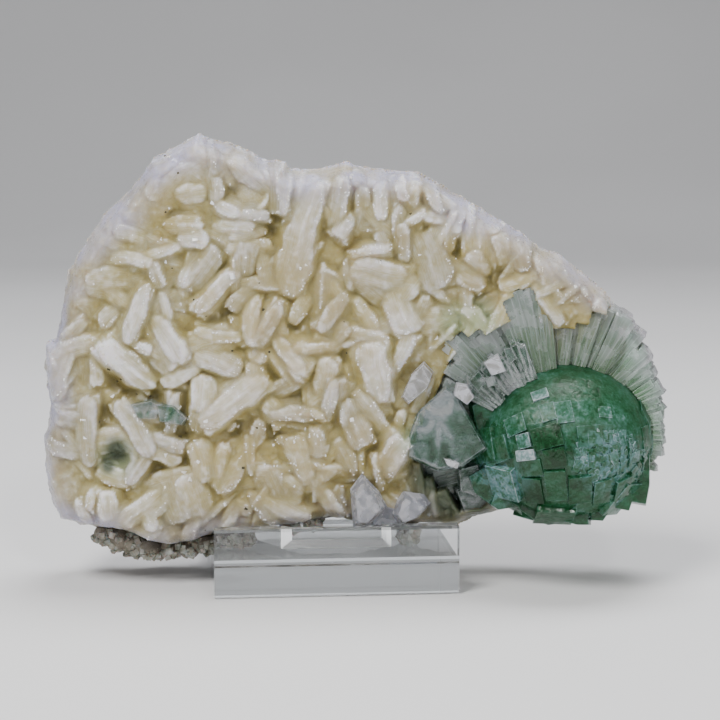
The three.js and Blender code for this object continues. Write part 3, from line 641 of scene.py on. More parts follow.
class Shader:
    """A material with one Principled surface and short calls for the nodes that feed it."""

    def __init__(self, name, **values):
        self.material = bpy.data.materials.new(name)
        self.material.use_nodes = True
        self.tree = self.material.node_tree
        self.surface = self.tree.nodes["Principled BSDF"]
        self.output = self.tree.nodes["Material Output"]
        for key, value in values.items():
            self.surface.inputs[key.replace("_", " ")].default_value = value

    def node(self, kind, **values):
        made = self.tree.nodes.new("ShaderNode" + kind)
        for key, value in values.items():
            setattr(made, key, value)
        return made

    def link(self, source, target):
        self.tree.links.new(source, target)

    def feed(self, node, inputs):
        for key, value in inputs.items():
            if isinstance(value, bpy.types.NodeSocket):
                self.link(value, node.inputs[key])
            else:
                node.inputs[key].default_value = value

    def place(self):
        return self.node("TexCoord").outputs["Object"]

    def attribute(self, name, output="Fac"):
        return self.node("Attribute", attribute_name=name).outputs[output]

    def noise(self, scale, detail, vector=None, distortion=0.0):
        made = self.node("TexNoise")
        place = vector or self.place()
        self.feed(made, {"Scale": scale, "Detail": detail, "Vector": place, "Distortion": distortion})
        return made.outputs["Fac"]

    def cells(self, scale, output="Color"):
        made = self.node("TexVoronoi")
        self.feed(made, {"Scale": scale, "Vector": self.place()})
        return made.outputs[output]

    def math(self, operation, a, b=0.0, clamp=False):
        made = self.node("Math", operation=operation, use_clamp=clamp)
        self.feed(made, {0: a, 1: b})
        return made.outputs[0]

    def total(self, first, *parts):
        """The first value plus each other one times its weight."""
        for part, weight in parts:
            first = self.math("ADD", first, self.math("MULTIPLY", part, weight))
        return first

    def between(self, value, low, high, to_low=0.0, to_high=1.0):
        made = self.node("MapRange", interpolation_type="SMOOTHSTEP")
        self.feed(made, {"Value": value, "From Min": low, "From Max": high})
        self.feed(made, {"To Min": to_low, "To Max": to_high})
        return made.outputs["Result"]

    def marked(self, name, value, low, high, to_low=0.0, to_high=1.0):
        """A mark of the mesh, made patchy by a value between two levels."""
        return self.math("MULTIPLY", self.attribute(name), self.between(value, low, high, to_low, to_high))

    def ramp(self, value, stops):
        made = self.node("ValToRGB")
        elements = made.color_ramp.elements
        while len(elements) < len(stops):
            elements.new(0.5)
        for element, (position, colour) in zip(elements, stops):
            element.position = position
            element.color = (*colour, 1)
        self.link(value, made.inputs["Fac"])
        return made.outputs["Color"]

    def mix(self, factor, a, b, blend="MIX"):
        made = self.node("Mix", data_type="RGBA", blend_type=blend)
        for key, value in ((0, factor), (6, a), (7, b)):
            if isinstance(value, bpy.types.NodeSocket):
                self.link(value, made.inputs[key])
            elif key == 0:
                made.inputs[key].default_value = value
            else:
                made.inputs[key].default_value = (*value, 1)
        return made.outputs[2]

    def coats(self, colour, *coats):
        """Lays each coat's colour over what is below it, by its share."""
        for share, over in coats:
            colour = self.mix(share, colour, over)
        return colour

    def bump(self, height, distance, strength, normal=None):
        made = self.node("Bump")
        self.feed(made, {"Height": height, "Distance": distance, "Strength": strength})
        if normal:
            self.link(normal, made.inputs["Normal"])
        return made.outputs["Normal"]

    def glints(self, cells, amount):
        """A normal that leans another way in each cell, as small crystal faces do."""
        lean = self.node("VectorMath", operation="SUBTRACT")
        self.feed(lean, {0: cells, 1: (0.5, 0.5, 0.5)})
        scaled = self.node("VectorMath", operation="SCALE")
        self.feed(scaled, {0: lean.outputs[0], "Scale": amount})
        total = self.node("VectorMath", operation="ADD")
        self.feed(total, {0: self.node("NewGeometry").outputs["Normal"], 1: scaled.outputs[0]})
        even = self.node("VectorMath", operation="NORMALIZE")
        self.link(total.outputs[0], even.inputs[0])
        return even.outputs[0]

    def set(self, **sources):
        for key, source in sources.items():
            self.link(source, self.surface.inputs[key.replace("_", " ")])

    def absorb(self, colour, density):
        """Plain absorption inside the solid. The density is per metre."""
        made = self.node("VolumeAbsorption")
        made.inputs["Color"].default_value = (*colour, 1)
        made.inputs["Density"].default_value = density
        self.link(made.outputs["Volume"], self.output.inputs["Volume"])


def stilbite_material():
    """Cream blades: yellow in the gaps and darker there as painted shade, white on the crests as painted
    highlights, with fine sparkles.
    """
    shader = Shader("stilbite", IOR=1.5, Subsurface_Weight=0.8, Subsurface_Scale=0.0055, Coat_Roughness=0.1)
    shader.surface.inputs["Subsurface Radius"].default_value = (1.0, 0.74, 0.4)
    grain = shader.attribute("grain", "Vector")
    streaks = shader.noise(1.5, 4, grain)
    patches = shader.noise(170, 5)
    height = shader.attribute("level")
    mottles = shader.noise(520, 3, distortion=0.5)
    for part, strength in ((patches, 0.6), (mottles, 0.4), (streaks, 0.45)):
        height = shader.total(height, (shader.math("SUBTRACT", part, 0.5), strength))
    low = shader.between(shader.attribute("level"), 0.32, 0.56, 1.0, 0.0)
    colour = shader.coats(
        shader.ramp(height, STILBITE_COLOURS),
        # Yellow stains, and broad painted shade over the middle and bottom.
        (shader.marked("stain_and_shade", patches, 0.3, 0.6, 0.3, 1.0), (0.36, 0.28, 0.09)),
        # Painted shade: dark brown in the deep gaps.
        (shader.math("MULTIPLY", shader.attribute("hollow"), low), (0.17, 0.13, 0.03)),
        (shader.attribute("green"), (0.25, 0.34, 0.18)),
        # A greyish rind along the rim, and painted cool rim light at the upper left.
        (shader.marked("rind_and_rim_light", patches, 0.3, 0.65, 0.5, 1.0), (0.41, 0.395, 0.50)),
        # Painted highlights: whiter along sharp crests.
        (shader.marked("crisp", mottles, 0.45, 0.62, 0.0, 0.8), (0.80, 0.78, 0.76)),
        # Dark olive ground, partly painted shade under the clear crystals.
        (shader.attribute("olive_and_shade"), (0.055, 0.07, 0.035)),
    )
    tint = shader.between(shader.attribute("tint"), 0.0, 1.0, 0.84, 1.06)
    shade = shader.node("CombineColor")
    for channel in range(3):
        shader.link(tint, shade.inputs[channel])
    colour = shader.mix(1.0, colour, shade.outputs[0], "MULTIPLY")
    cells = shader.cells(2600)
    chosen = shader.node("SeparateColor")
    shader.link(cells, chosen.inputs[0])
    sparkle = shader.math("GREATER_THAN", chosen.outputs[0], 0.72)
    steps = shader.bump(shader.cells(800, "Distance"), 0.00025, 0.4)
    grooves = shader.bump(streaks, 0.0003, 0.6, steps)
    shader.set(
        Base_Color=colour,
        Roughness=shader.between(streaks, 0.35, 0.65, 0.38, 0.55),
        Normal=shader.bump(shader.noise(2400, 2), 0.00006, 0.5, grooves),
        Coat_Weight=shader.math("MULTIPLY", sparkle, shader.between(streaks, 0.45, 0.6, 0.1, 1.0)),
        Coat_Normal=shader.glints(cells, 1.3),
    )
    return shader.material


def sparkle_material():
    shader = Shader("stilbite_sparkle", IOR=1.6, Roughness=0.12)
    shader.set(Base_Color=shader.ramp(shader.noise(300, 2), SPARKLE_COLOURS))
    return shader.material


def speck_material():
    shader = Shader("dark_speck", Roughness=0.6)
    shader.set(Base_Color=shader.ramp(shader.noise(900, 3), SPECK_COLOURS))
    return shader.material


def rock_material():
    shader = Shader("host_rock", Specular_IOR_Level=0.3)
    patches = shader.noise(160, 6)
    veins = shader.noise(60, 8, distortion=1.5)
    level = shader.math("ADD", shader.math("MULTIPLY", patches, 0.5), shader.math("MULTIPLY", veins, 0.5))
    grit = shader.noise(1800, 4)
    grains = shader.between(grit, 0.6, 0.75, 0.0, 0.6)
    colour = shader.mix(grains, shader.ramp(level, ROCK_COLOURS), (0.56, 0.53, 0.46))
    shader.set(
        Base_Color=colour,
        Roughness=shader.between(grit, 0.3, 0.7, 0.6, 0.95),
        Normal=shader.bump(grit, 0.0002, 0.8, shader.bump(patches, 0.0008, 0.6)),
    )
    return shader.material


def druse_material():
    shader = Shader("druse", Roughness=0.22, Subsurface_Weight=0.3, Subsurface_Scale=0.0015)
    shader.set(
        Base_Color=shader.ramp(shader.noise(420, 3), DRUSE_COLOURS),
        Normal=shader.bump(shader.noise(2500, 2), 0.00008, 0.6),
    )
    return shader.material


def green_material():
    """Green apophyllite: clouded glass, paler in each block by its tone and in hazy spots, with painted
    highlights along the edges and painted shade in marked spots.
    """
    shader = Shader("green_apophyllite", IOR=1.535, Transmission_Weight=0.55, Specular_IOR_Level=0.12)
    clouds = shader.noise(150, 6, distortion=1.0)
    veils = shader.noise(650, 4, distortion=0.7)
    level = shader.total(
        shader.math("MULTIPLY", clouds, 0.6), (veils, 0.6), (shader.noise(1900, 2), 0.5),
        (shader.attribute("tone"), 1.0), (shader.attribute("haze_and_shade"), 1.0), (shader.attribute("edge"), 0.2),
    )
    colour = shader.ramp(shader.math("SUBTRACT", level, 0.38), GREENS)
    colour = shader.mix(shader.marked("teal", veils, 0.4, 0.62), colour, (0.20, 0.42, 0.48))
    gloss = shader.between(veils, 0.35, 0.7, 0.08, 0.25)
    shader.set(
        Base_Color=colour,
        Roughness=shader.total(gloss, (shader.attribute("matt"), 0.24)),
        Normal=shader.bump(veils, 0.0003, 0.6, shader.glints(shader.cells(1100), 0.12)),
    )
    shader.absorb(*GREEN_ABSORPTION)
    return shader.material


def pale_material(inner, outer):
    """Pale apophyllite: striped along its growth, greener inwards by the mark called out."""
    shader = Shader("pale_apophyllite", IOR=1.535, Transmission_Weight=0.6)
    grain = shader.attribute("grain", "Vector")
    streaks = shader.noise(1.0, 4, grain)
    clouds = shader.noise(300, 4)
    cloud = shader.math("SUBTRACT", clouds, 0.5)
    along = shader.math("ADD", shader.attribute("out"), shader.math("MULTIPLY", cloud, 1.2), clamp=True)
    colour = shader.coats(
        shader.mix(along, inner, outer),
        (shader.attribute("warm"), (0.44, 0.40, 0.17)),
        (shader.between(streaks, 0.52, 0.72, 0.0, 0.4), (0.80, 0.85, 0.86)),
        (shader.between(streaks, 0.46, 0.3, 0.0, 0.35), (0.18, 0.30, 0.20)),
        (shader.marked("out", clouds, 0.5, 0.62, 0.0, 0.55), (0.74, 0.77, 0.78)),
        (shader.marked("crust", clouds, 0.35, 0.6, 0.5, 1.0), (0.70, 0.65, 0.71)),
        # Painted highlights along the edges.
        (shader.math("MULTIPLY", shader.attribute("edge"), 0.38), (0.86, 0.89, 0.91)),
    )
    shader.set(
        Base_Color=colour,
        Roughness=shader.between(clouds, 0.35, 0.65, 0.1, 0.32),
        Normal=shader.bump(streaks, 0.0002, 0.6, shader.bump(shader.noise(1400, 2), 0.00006, 0.5)),
    )
    shader.absorb(*PALE_ABSORPTION)
    return shader.material


def clear_material(name, stops, transmission, rough):
    """Clear apophyllite with veils and marked haze, with painted highlights along its edges and painted shade
    in marked dark spots.
    """
    shader = Shader(name, IOR=1.535, Transmission_Weight=transmission)
    veils = shader.noise(300, 6, distortion=1.2)
    grain = shader.bump(shader.noise(1300, 3), 0.00008, 0.5, shader.glints(shader.cells(700), 0.1))
    level = shader.total(
        shader.math("SUBTRACT", veils, 0.4), (veils, 0.8), (shader.attribute("edge"), 0.36),
        (shader.attribute("haze_and_shade"), 1.0),
    )
    shader.set(
        Base_Color=shader.ramp(level, stops),
        Roughness=shader.between(veils, 0.4, 0.65, *rough),
        Normal=shader.bump(veils, 0.0004, 0.5, grain),
    )
    shader.absorb(*CLEAR_ABSORPTION)
    return shader.material


def white_material():
    shader = Shader("white_crystal", IOR=1.5, Transmission_Weight=0.55)
    veils = shader.noise(420, 5, distortion=0.8)
    shader.set(
        Base_Color=shader.ramp(veils, WHITE_COLOURS),
        Roughness=shader.between(veils, 0.3, 0.7, 0.1, 0.4),
        Normal=shader.bump(shader.noise(900, 3), 0.0002, 0.6),
    )
    shader.absorb(*WHITE_ABSORPTION)
    return shader.material


def acrylic_material():
    shader = Shader("clear_acrylic", IOR=1.49, Transmission_Weight=1.0, Base_Color=(0.97, 0.985, 0.99, 1))
    scratches = shader.noise(900, 5)
    shader.set(
        Roughness=shader.between(scratches, 0.5, 0.75, 0.015, 0.09),
        Normal=shader.bump(shader.noise(60, 2), 0.0001, 0.15),
    )
    shader.absorb(*ACRYLIC_ABSORPTION)
    return shader.material


def floor_material():
    shader = Shader("floor", Roughness=0.55)
    shader.set(Base_Color=shader.ramp(shader.noise(4, 2), FLOOR_COLOURS))
    return shader.material


# Stilbite

def inside(px, py, outline):
    odd = False
    for (ax, ay), (bx, by) in zip(outline, outline[1:] + outline[:1]):
        if (ay > py) != (by > py) and px < ax + (py - ay) / (by - ay) * (bx - ax):
            odd = not odd
    return odd


def seen_at(points):
    """Where the camera sees the points, in pixels."""
    away = np.asarray(points) - EYE
    forward = away[..., 1] * math.cos(LOOK_DOWN) - away[..., 2] * math.sin(LOOK_DOWN)
    rise = away[..., 1] * math.sin(LOOK_DOWN) + away[..., 2] * math.cos(LOOK_DOWN)
    return np.stack([
        PICTURE_MIDDLE + FOCAL_PX * away[..., 0] / forward, PICTURE_MIDDLE - FOCAL_PX * rise / forward,
    ], -1)


def spots(seen, rows, strength):
    """The strength near the middle of each row's spot, which fades to 0 round it."""
    total = np.zeros(len(seen))
    for px, py, radius in rows:
        distance = np.hypot(seen[:, 0] - px, seen[:, 1] - py)
        total = np.maximum(total, strength * (1 - smooth_step(distance, 0.3 * radius, 1.3 * radius)))
    return total


def signed_distance(x, z, outline, y):
    """Distance in the plane of the plate to an outline traced at depth y; positive inside."""
    corners = np.array([traced(px, py, y) for px, py in outline])[:, [0, 2]]
    nearest = np.full(x.shape, np.inf)
    odd = np.zeros(x.shape, bool)
    for (ax, az), (bx, bz) in zip(corners, np.roll(corners, -1, axis=0)):
        dx, dz = bx - ax, bz - az
        share = np.clip(((x - ax) * dx + (z - az) * dz) / (dx * dx + dz * dz), 0, 1)
        nearest = np.minimum(nearest, np.hypot(x - ax - share * dx, z - az - share * dz))
        if dz:
            odd ^= ((az > z) != (bz > z)) & (x < ax + (z - az) / dz * dx)
    return np.where(odd, nearest, -nearest)


def swells(size, a, b, c=0.0, seed=0):
    """Noise over grids of coordinates, each already divided by its own size."""
    place = np.stack(np.broadcast_arrays(a, b, c), -1)
    return noise(place.reshape(-1, 3), size, seed).reshape(place.shape[:-1])


def blurred(grid, radius):
    """The grid smoothed over a radius in millimetres."""
    reach = np.arange(-int(3 * radius / CELL), int(3 * radius / CELL) + 1) * CELL
    weights = np.exp(-0.5 * (reach / radius) ** 2)
    for axis in (0, 1):
        grid = np.apply_along_axis(np.convolve, axis, grid, weights / weights.sum(), "same")
    return grid


def front_y(edge, height):
    """The depth of the plate's front, which rounds off towards its edge."""
    rim = np.clip(edge / RIM_WIDTH, 0, 1)
    base = BED_EDGE_Y + (BED_FACE_Y - BED_EDGE_Y) * np.sin(rim * math.pi / 2)
    return base - height * smooth_step(edge, -1.0, 2.2)


class Relief:
    """The front of the stilbite: a height over each point of an even grid on the plate."""

    def __init__(self):
        low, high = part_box("stilbite_bed")
        self.x, self.z = np.meshgrid(
            np.arange(low[0] / MM - 1, high[0] / MM + 1, CELL),
            np.arange(low[2] / MM - 1, high[2] / MM + 1, CELL), indexing="ij",
        )
        self.edge = signed_distance(self.x, self.z, PLATE_OUTLINE_PX, BED_EDGE_Y)
        self.seen = seen_at(np.stack([self.x, np.full_like(self.x, BED_FACE_Y), self.z], -1))
        self.height = BED_FILL + 0.9 * swells(5, self.x, self.z) + 0.4 * swells(1.5, self.x, self.z, seed=1)
        self.height -= HOLLOW_DEPTH * self.spots(HOLLOWS_PX)
        self.grain = np.stack([self.x * 0.7, self.z * 0.7, 0 * self.x], -1)
        self.tint = 0.5 + 0.4 * swells(5, self.x, self.z, seed=2)
        self.drift = np.stack([
            0.3 * swells(4.5, self.x, self.z, seed=3 + k) + 0.12 * swells(1.3, self.x, self.z, seed=5 + k)
            for k in (0, 1)
        ], -1)
        self.random = np.random.default_rng(3)

    def spots(self, rows):
        return spots(self.seen.reshape(-1, 2), rows, 1.0).reshape(self.x.shape)

    def window(self, middle, reach):
        """The rows and columns of the grid within the reach of a place."""
        column = (middle[0] - self.x[0, 0]) / CELL
        row = (middle[2] - self.z[0, 0]) / CELL
        wide = reach / CELL
        return tuple(
            slice(max(int(place - wide), 0), max(int(place + wide) + 2, 0)) for place in (column, row)
        )

    def join(self, window, height, grain, tint, soft):
        """Raises the surface to the height, with a soft valley between the two."""
        old = self.height[window]
        share = np.clip(0.5 + 0.5 * (height - old) / soft, 0, 1)
        self.height[window] = old + (height - old) * share + soft * share * (1 - share)
        above = share > 0.5
        self.grain[window][above] = grain[above]
        self.tint[window] += (tint - self.tint[window]) * share

    def blade(self, start, end, half, height, flare=1.0, soft=0.6, lean=0.3, sink=0.25):
        """A blade along a crest; flare is the start's width over the end's."""
        random = self.random
        middle = (start + end) / 2
        along = (end - start) / np.hypot(*(end - start)[[0, 2]])
        reach = np.hypot(*(end - start)[[0, 2]]) / 2 + 0.3 * half
        window = self.window(middle, reach + half + 4)
        x = self.x[window] - middle[0] + self.drift[window][..., 0]
        z = self.z[window] - middle[2] + self.drift[window][..., 1]
        u = x * along[0] + z * along[2]
        v = z * along[0] - x * along[2] - random.uniform(-0.2, 0.2) * half * (1 - (u / reach) ** 2)
        identity = random.uniform(0, 900)
        lean = lean * random.choice([-1, 1]) * random.uniform(0.3, 1)
        share = np.clip(u / reach, -1, 1)
        width = half * (flare + (1 - flare) * (share + 1) / 2)
        width = width * (1 + 0.2 * swells(1, u / 3, np.sign(v), identity))
        ragged = 0.25 * swells(1, v / 0.7, np.sign(u) * 9, identity)
        blunt = np.where(u < 0, *random.uniform(2, 7, 2))
        roof = random.uniform(0, 0.34)
        past_side = abs(v) / width
        past = (past_side**2.6 + (abs(u) / (reach + ragged)) ** blunt) ** 0.5
        top = height * (1 - 0.12 * share**2) + lean * v + random.uniform(-sink, sink) * height * share
        top = top - 0.7 * min(half, 1.7) * (1 - np.sqrt(1 - np.minimum(past, 1) ** 3.4))
        top = top - roof * np.minimum(abs(v), half)
        top = top + 0.10 * swells(1, v / 0.6, u / 5, identity) + 0.22 * swells(1, v / 1.5, u / 6, identity)
        steep = np.where(v * lean > 0, STEEP_SIDE, GENTLE_SIDE)
        outside = np.maximum(past_side - 1, 0) * width
        beyond = np.maximum(abs(u) - reach - ragged, 0)
        top = top - steep * outside - END_SLOPE * beyond
        grain = np.stack([u * 0.16 + identity, v * 3.4, 0 * u], -1)
        self.join(window, top, grain, random.uniform(0, 1), soft)

    def calm(self):
        """1 near the top left, where the blades hardly stand out, and 0 from the middle on."""
        return 1 - smooth_step(self.seen[..., 0] + self.seen[..., 1], 330, 500)

    def dish(self):
        """The curved plate near the top left: round, and hollow within its thicker rim."""
        px, py, radius, rise = DISH
        middle = traced(px, py, BED_FACE_Y - rise)
        radius *= pixel(BED_FACE_Y - rise)
        window = self.window(middle, radius + 3)
        x, z = (self.x[window] - middle[0]) / radius, (self.z[window] - middle[2]) / radius
        r = np.hypot(x, z) * (1 + 0.04 * swells(1, x * 2, z * 2))
        hollow = 1.7 * np.exp(-((x + 0.42) ** 2 + 0.5 * z**2) / 0.07)
        top = rise - 1.5 * z - (1 - smooth_step(r, 0.72, 0.86)) * (0.7 + hollow)
        top = top - 0.8 * smooth_step(r, 0.9, 1) - STEEP_SIDE * radius * np.maximum(r - 1, 0)
        grain = np.stack([x * 9, z * 9, 0 * x], -1)
        self.join(window, top, grain, 0.7, 0.3)

    def pockets(self):
        """Lowers the bed under the fan and the clear crystals, which hide it."""
        away = self.seen - np.array(BALL_CENTRE_PX)
        bearing = np.degrees(np.arctan2(-away[..., 1], away[..., 0]))
        bearing = np.where(bearing < -90, bearing + 360, bearing)
        radius = np.hypot(away[..., 0], away[..., 1])
        room = np.full_like(radius, 200.0)
        for middle, reach, *_ in ALL_PRISMS_PX:
            near = abs(bearing - middle) < 6.5
            room[near] = np.minimum(room[near], reach - radius[near])
        room[room > 150] = 60 - radius[room > 150]
        room = room * pixel(BED_FACE_Y) - 0.9
        for outline, face, inset in SIDE_CRYSTALS_PX + RIM_BLOCKS_PX + GLASS_BLOCKS_PX:
            room = np.maximum(room, signed_distance(self.x, self.z, outline, BED_FACE_Y) - 0.8)
        share = smooth_step(room, 0.0, 1.2)
        self.shape = self.height.copy()
        self.height += (-POCKET - self.height) * share
        self.hidden = share > 0
        self.olive_and_shade = self.spots(OLIVE_AND_SHADE_PX) > 0.2

    def mesh(self, name):
        """A closed block with the relief on its front."""
        slope = np.stack(np.gradient(self.edge, CELL), -1)
        near = self.edge < 0.3 * CELL
        x = self.x - self.edge * slope[..., 0] * near
        z = self.z - self.edge * slope[..., 1] * near
        edge = np.where(near, 0, self.edge)
        rim = np.clip(edge / RIM_WIDTH, 0, 1)
        y = front_y(edge, self.height)
        kept = self.edge > -0.7 * CELL
        cells = kept[:-1, :-1] & kept[1:, :-1] & kept[1:, 1:] & kept[:-1, 1:]
        used = np.zeros_like(kept)
        for across in (slice(None, -1), slice(1, None)):
            for up in (slice(None, -1), slice(1, None)):
                used[across, up] |= cells
        number = np.full(kept.shape, -1)
        number[used] = np.arange(used.sum())
        corners = [number[:-1, :-1], number[1:, :-1], number[1:, 1:], number[:-1, 1:]]
        faces = np.stack([corner[cells] for corner in corners], -1).tolist()
        front = np.stack([x[used], y[used], z[used]], -1)
        outwards = -unit_rows(slope[used])
        ragged = rough_side(front) * (1 - smooth_step(edge[used], 0, SIDE_REACH))
        points = [front.copy()]
        points[0][:, [0, 2]] += outwards * ragged[:, None]
        # The colour's level: lighter on high blades and on sharp crests, as painted highlights, darker in
        # cavities and low places, as painted shade, and a little lighter towards the rim.
        cavity = self.shape - blurred(self.shape, 1.7)
        crisp = np.maximum(self.shape - blurred(self.shape, 0.5), 0)
        level = 0.48 + 0.08 * (self.shape - 3.6) + 0.2 * cavity + 1.2 * crisp + 0.1 * (1 - rim)
        columns = [level[used][:, None], self.tint[used][:, None], np.clip(4 * crisp[used][:, None], 0, 1)]
        marks = [np.concatenate([*columns, self.grain[used]], -1)]
        loop = boundary(faces)
        ring, base = loop, front[loop]
        count = len(front)
        for share in (FIRST_ROW, *np.linspace(0, 1, WALL_ROWS + 1)[1:]):
            place = base.copy()
            place[:, 1] += (BED_BACK_Y - base[:, 1]) * share
            bulge = rough_side(place) - 0.7 * share
            place[:, [0, 2]] += outwards[loop] * bulge[:, None]
            following = count + np.arange(len(loop))
            before, beyond = np.roll(ring, 1), np.roll(following, 1)
            faces += np.stack([before, ring, following, beyond], -1).tolist()
            points.append(place)
            rows = marks[0][loop].copy()
            rows[:, 0] = 0.75 - 0.3 * share
            rows[:, 3:] = place * [1.6, 0.4, 1.6]
            marks.append(rows)
            ring, count = following, count + len(loop)
        faces.append([int(corner) for corner in ring[::-1]])
        mesh = mesh_of(name, np.concatenate(points), faces)
        marks = np.concatenate(marks)
        mark(mesh, "level", np.clip(marks[:, 0], 0, 1))
        mark(mesh, "tint", marks[:, 1])
        mark(mesh, "crisp", marks[:, 2])
        mark(mesh, "grain", marks[:, 3:])
        return mesh


def unit_rows(vectors):
    return vectors / np.maximum(np.linalg.norm(vectors, axis=1), 1e-9)[:, None]


def rough_side(points):
    """How far, in millimetres, the plate's broken side stands out at the points."""
    return 0.4 * noise(points, 2.2, 7) + 0.2 * noise(points * [1, 0.4, 1], 0.8, 8)


def boundary(faces):
    """The loop of corners round a sheet of faces, in order."""
    edges = {(face[i - 1], face[i]) for face in faces for i in range(4)}
    following = {a: b for a, b in edges if (b, a) not in edges}
    loop = [next(iter(following))]
    while following[loop[-1]] != loop[0]:
        loop.append(following[loop[-1]])
    return np.array(loop)


def colour_marks(mesh):
    """Marks the yellow and green stains, painted shade in broad spots and in the deep gaps, the dark olive
    ground with painted shade, and the rim band: a greyish rind, with painted cool rim light at the upper
    left.
    """
    points = points_of(mesh)
    seen = seen_at(points)
    # Yellow stains, and broad spots of painted shade over the middle and bottom.
    mark(mesh, "stain_and_shade", spots(seen, STAINS_AND_SHADE_PX, 0.75))
    mark(mesh, "green", spots(seen, GREEN_PX, 0.55))
    mark(mesh, "olive_and_shade", spots(seen, OLIVE_AND_SHADE_PX, 1.0))
    # Painted shade in the deep gaps.
    mark(mesh, "hollow", spots(seen, [(px, py, 1.5 * radius) for px, py, radius in HOLLOWS_PX], 0.9))
    edge = signed_distance(points[:, 0], points[:, 2], PLATE_OUTLINE_PX, BED_EDGE_Y)
    # A pale lavender band in from the rim: a greyish rind, with painted cool rim light that is strongest at
    # the upper left.
    rim = 1 - smooth_step(edge + 1.2 * noise(points, 4.0, 10), 0.0, RIM_BAND_DEPTH)
    upper_left = smooth_step(seen[:, 1] + 0.9 * seen[:, 0], 900, 620)
    patchy = 0.75 + 0.5 * noise(points, 5.0, 9)
    mark(mesh, "rind_and_rim_light", np.clip(1.3 * rim * patchy * (0.4 + 0.6 * upper_left), 0, 1))


def stilbite_mesh():
    relief = Relief()
    random = np.random.default_rng(21)
    for _ in range(SMALL_BLADES):
        px, py = random.uniform(48, 622), random.uniform(135, 542)
        turn = random.uniform(0, math.pi)
        length, width = random.uniform(10, 32), random.uniform(9, 26)
        height = random.uniform(2.6, 5.3)
        reach = length * np.array([math.cos(turn), math.sin(turn)])
        in_hollow = any(math.hypot(px - x, py - y) < 1.2 * radius for x, y, radius in HOLLOWS_PX)
        if in_hollow or not inside(px, py, PLATE_OUTLINE_PX):
            continue
        crest = BED_FACE_Y - height
        start = traced(px - reach[0], py - reach[1], crest)
        end = traced(px + reach[0], py + reach[1], crest)
        relief.blade(start, end, width * pixel(crest) / 2, height, random.uniform(0.7, 1.1), 0.7, 0.4)
    for ax, ay, bx, by, width, height, *flare in BLADES_PX:
        crest = BED_FACE_Y - height
        half = width * pixel(crest) / 2
        relief.blade(traced(ax, ay, crest), traced(bx, by, crest), half, height, *flare)
    relief.dish()
    broad = blurred(relief.height, 2.6)
    relief.height = broad + (relief.height - broad) * (RELIEF_SHARE - CALM_SHARE * relief.calm())
    relief.height += 0.07 * swells(0.9, relief.x, relief.z, seed=31)
    relief.pockets()
    mesh = relief.mesh("stilbite_plate")
    return fused("stilbite_plate", [mesh], [ball_room(0.3)]), relief


def sparkles_mesh(relief):
    """Tiny clear crystals in patches along the crests of the blades."""
    random = np.random.default_rng(6)
    crisp = relief.shape - blurred(relief.shape, 0.5)
    patch = swells(6.0, relief.x, relief.z, seed=12)
    likely = (crisp > 0.07) & (patch > -0.2) & (relief.edge > 1.5) & ~relief.hidden & ~relief.olive_and_shade
    places = np.argwhere(likely)
    chosen = places[random.choice(len(places), SPARKLES, replace=False)]
    whole = bmesh.new()
    for i, k in chosen:
        y = front_y(relief.edge[i, k], relief.height[i, k])
        shape = random.uniform(0.1, 0.3) * np.array([1, 1, random.uniform(1, 2.5)])
        place = (relief.x[i, k], y + SPARKLE_SINK, relief.z[i, k])
        add_box(whole, 1, shape, any_turn(random), place)
    return boxes_mesh("stilbite_sparkles", whole)


# Ball


def ellipsoid_point(px, py):
    """Where the ray through a pixel first meets the ball, and the ball's normal there."""
    aim = ray(px, py) / BALL_RADII
    from_middle = (EYE - BALL_MIDDLE) / BALL_RADII
    a, b, c = aim @ aim, aim @ from_middle, from_middle @ from_middle - 1
    t = (-b - math.sqrt(max(b * b - a * c, 0))) / a
    place = EYE + t * ray(px, py)
    return place, unit((place - BALL_MIDDLE) / BALL_RADII**2)


def face_axes(normal, turn):
    level = unit(np.array([1, 0, 0]) - normal[0] * normal)
    up = np.cross(normal, level)
    angle = math.radians(turn)
    return level * math.cos(angle) + up * math.sin(angle), up * math.cos(angle) - level * math.sin(angle)


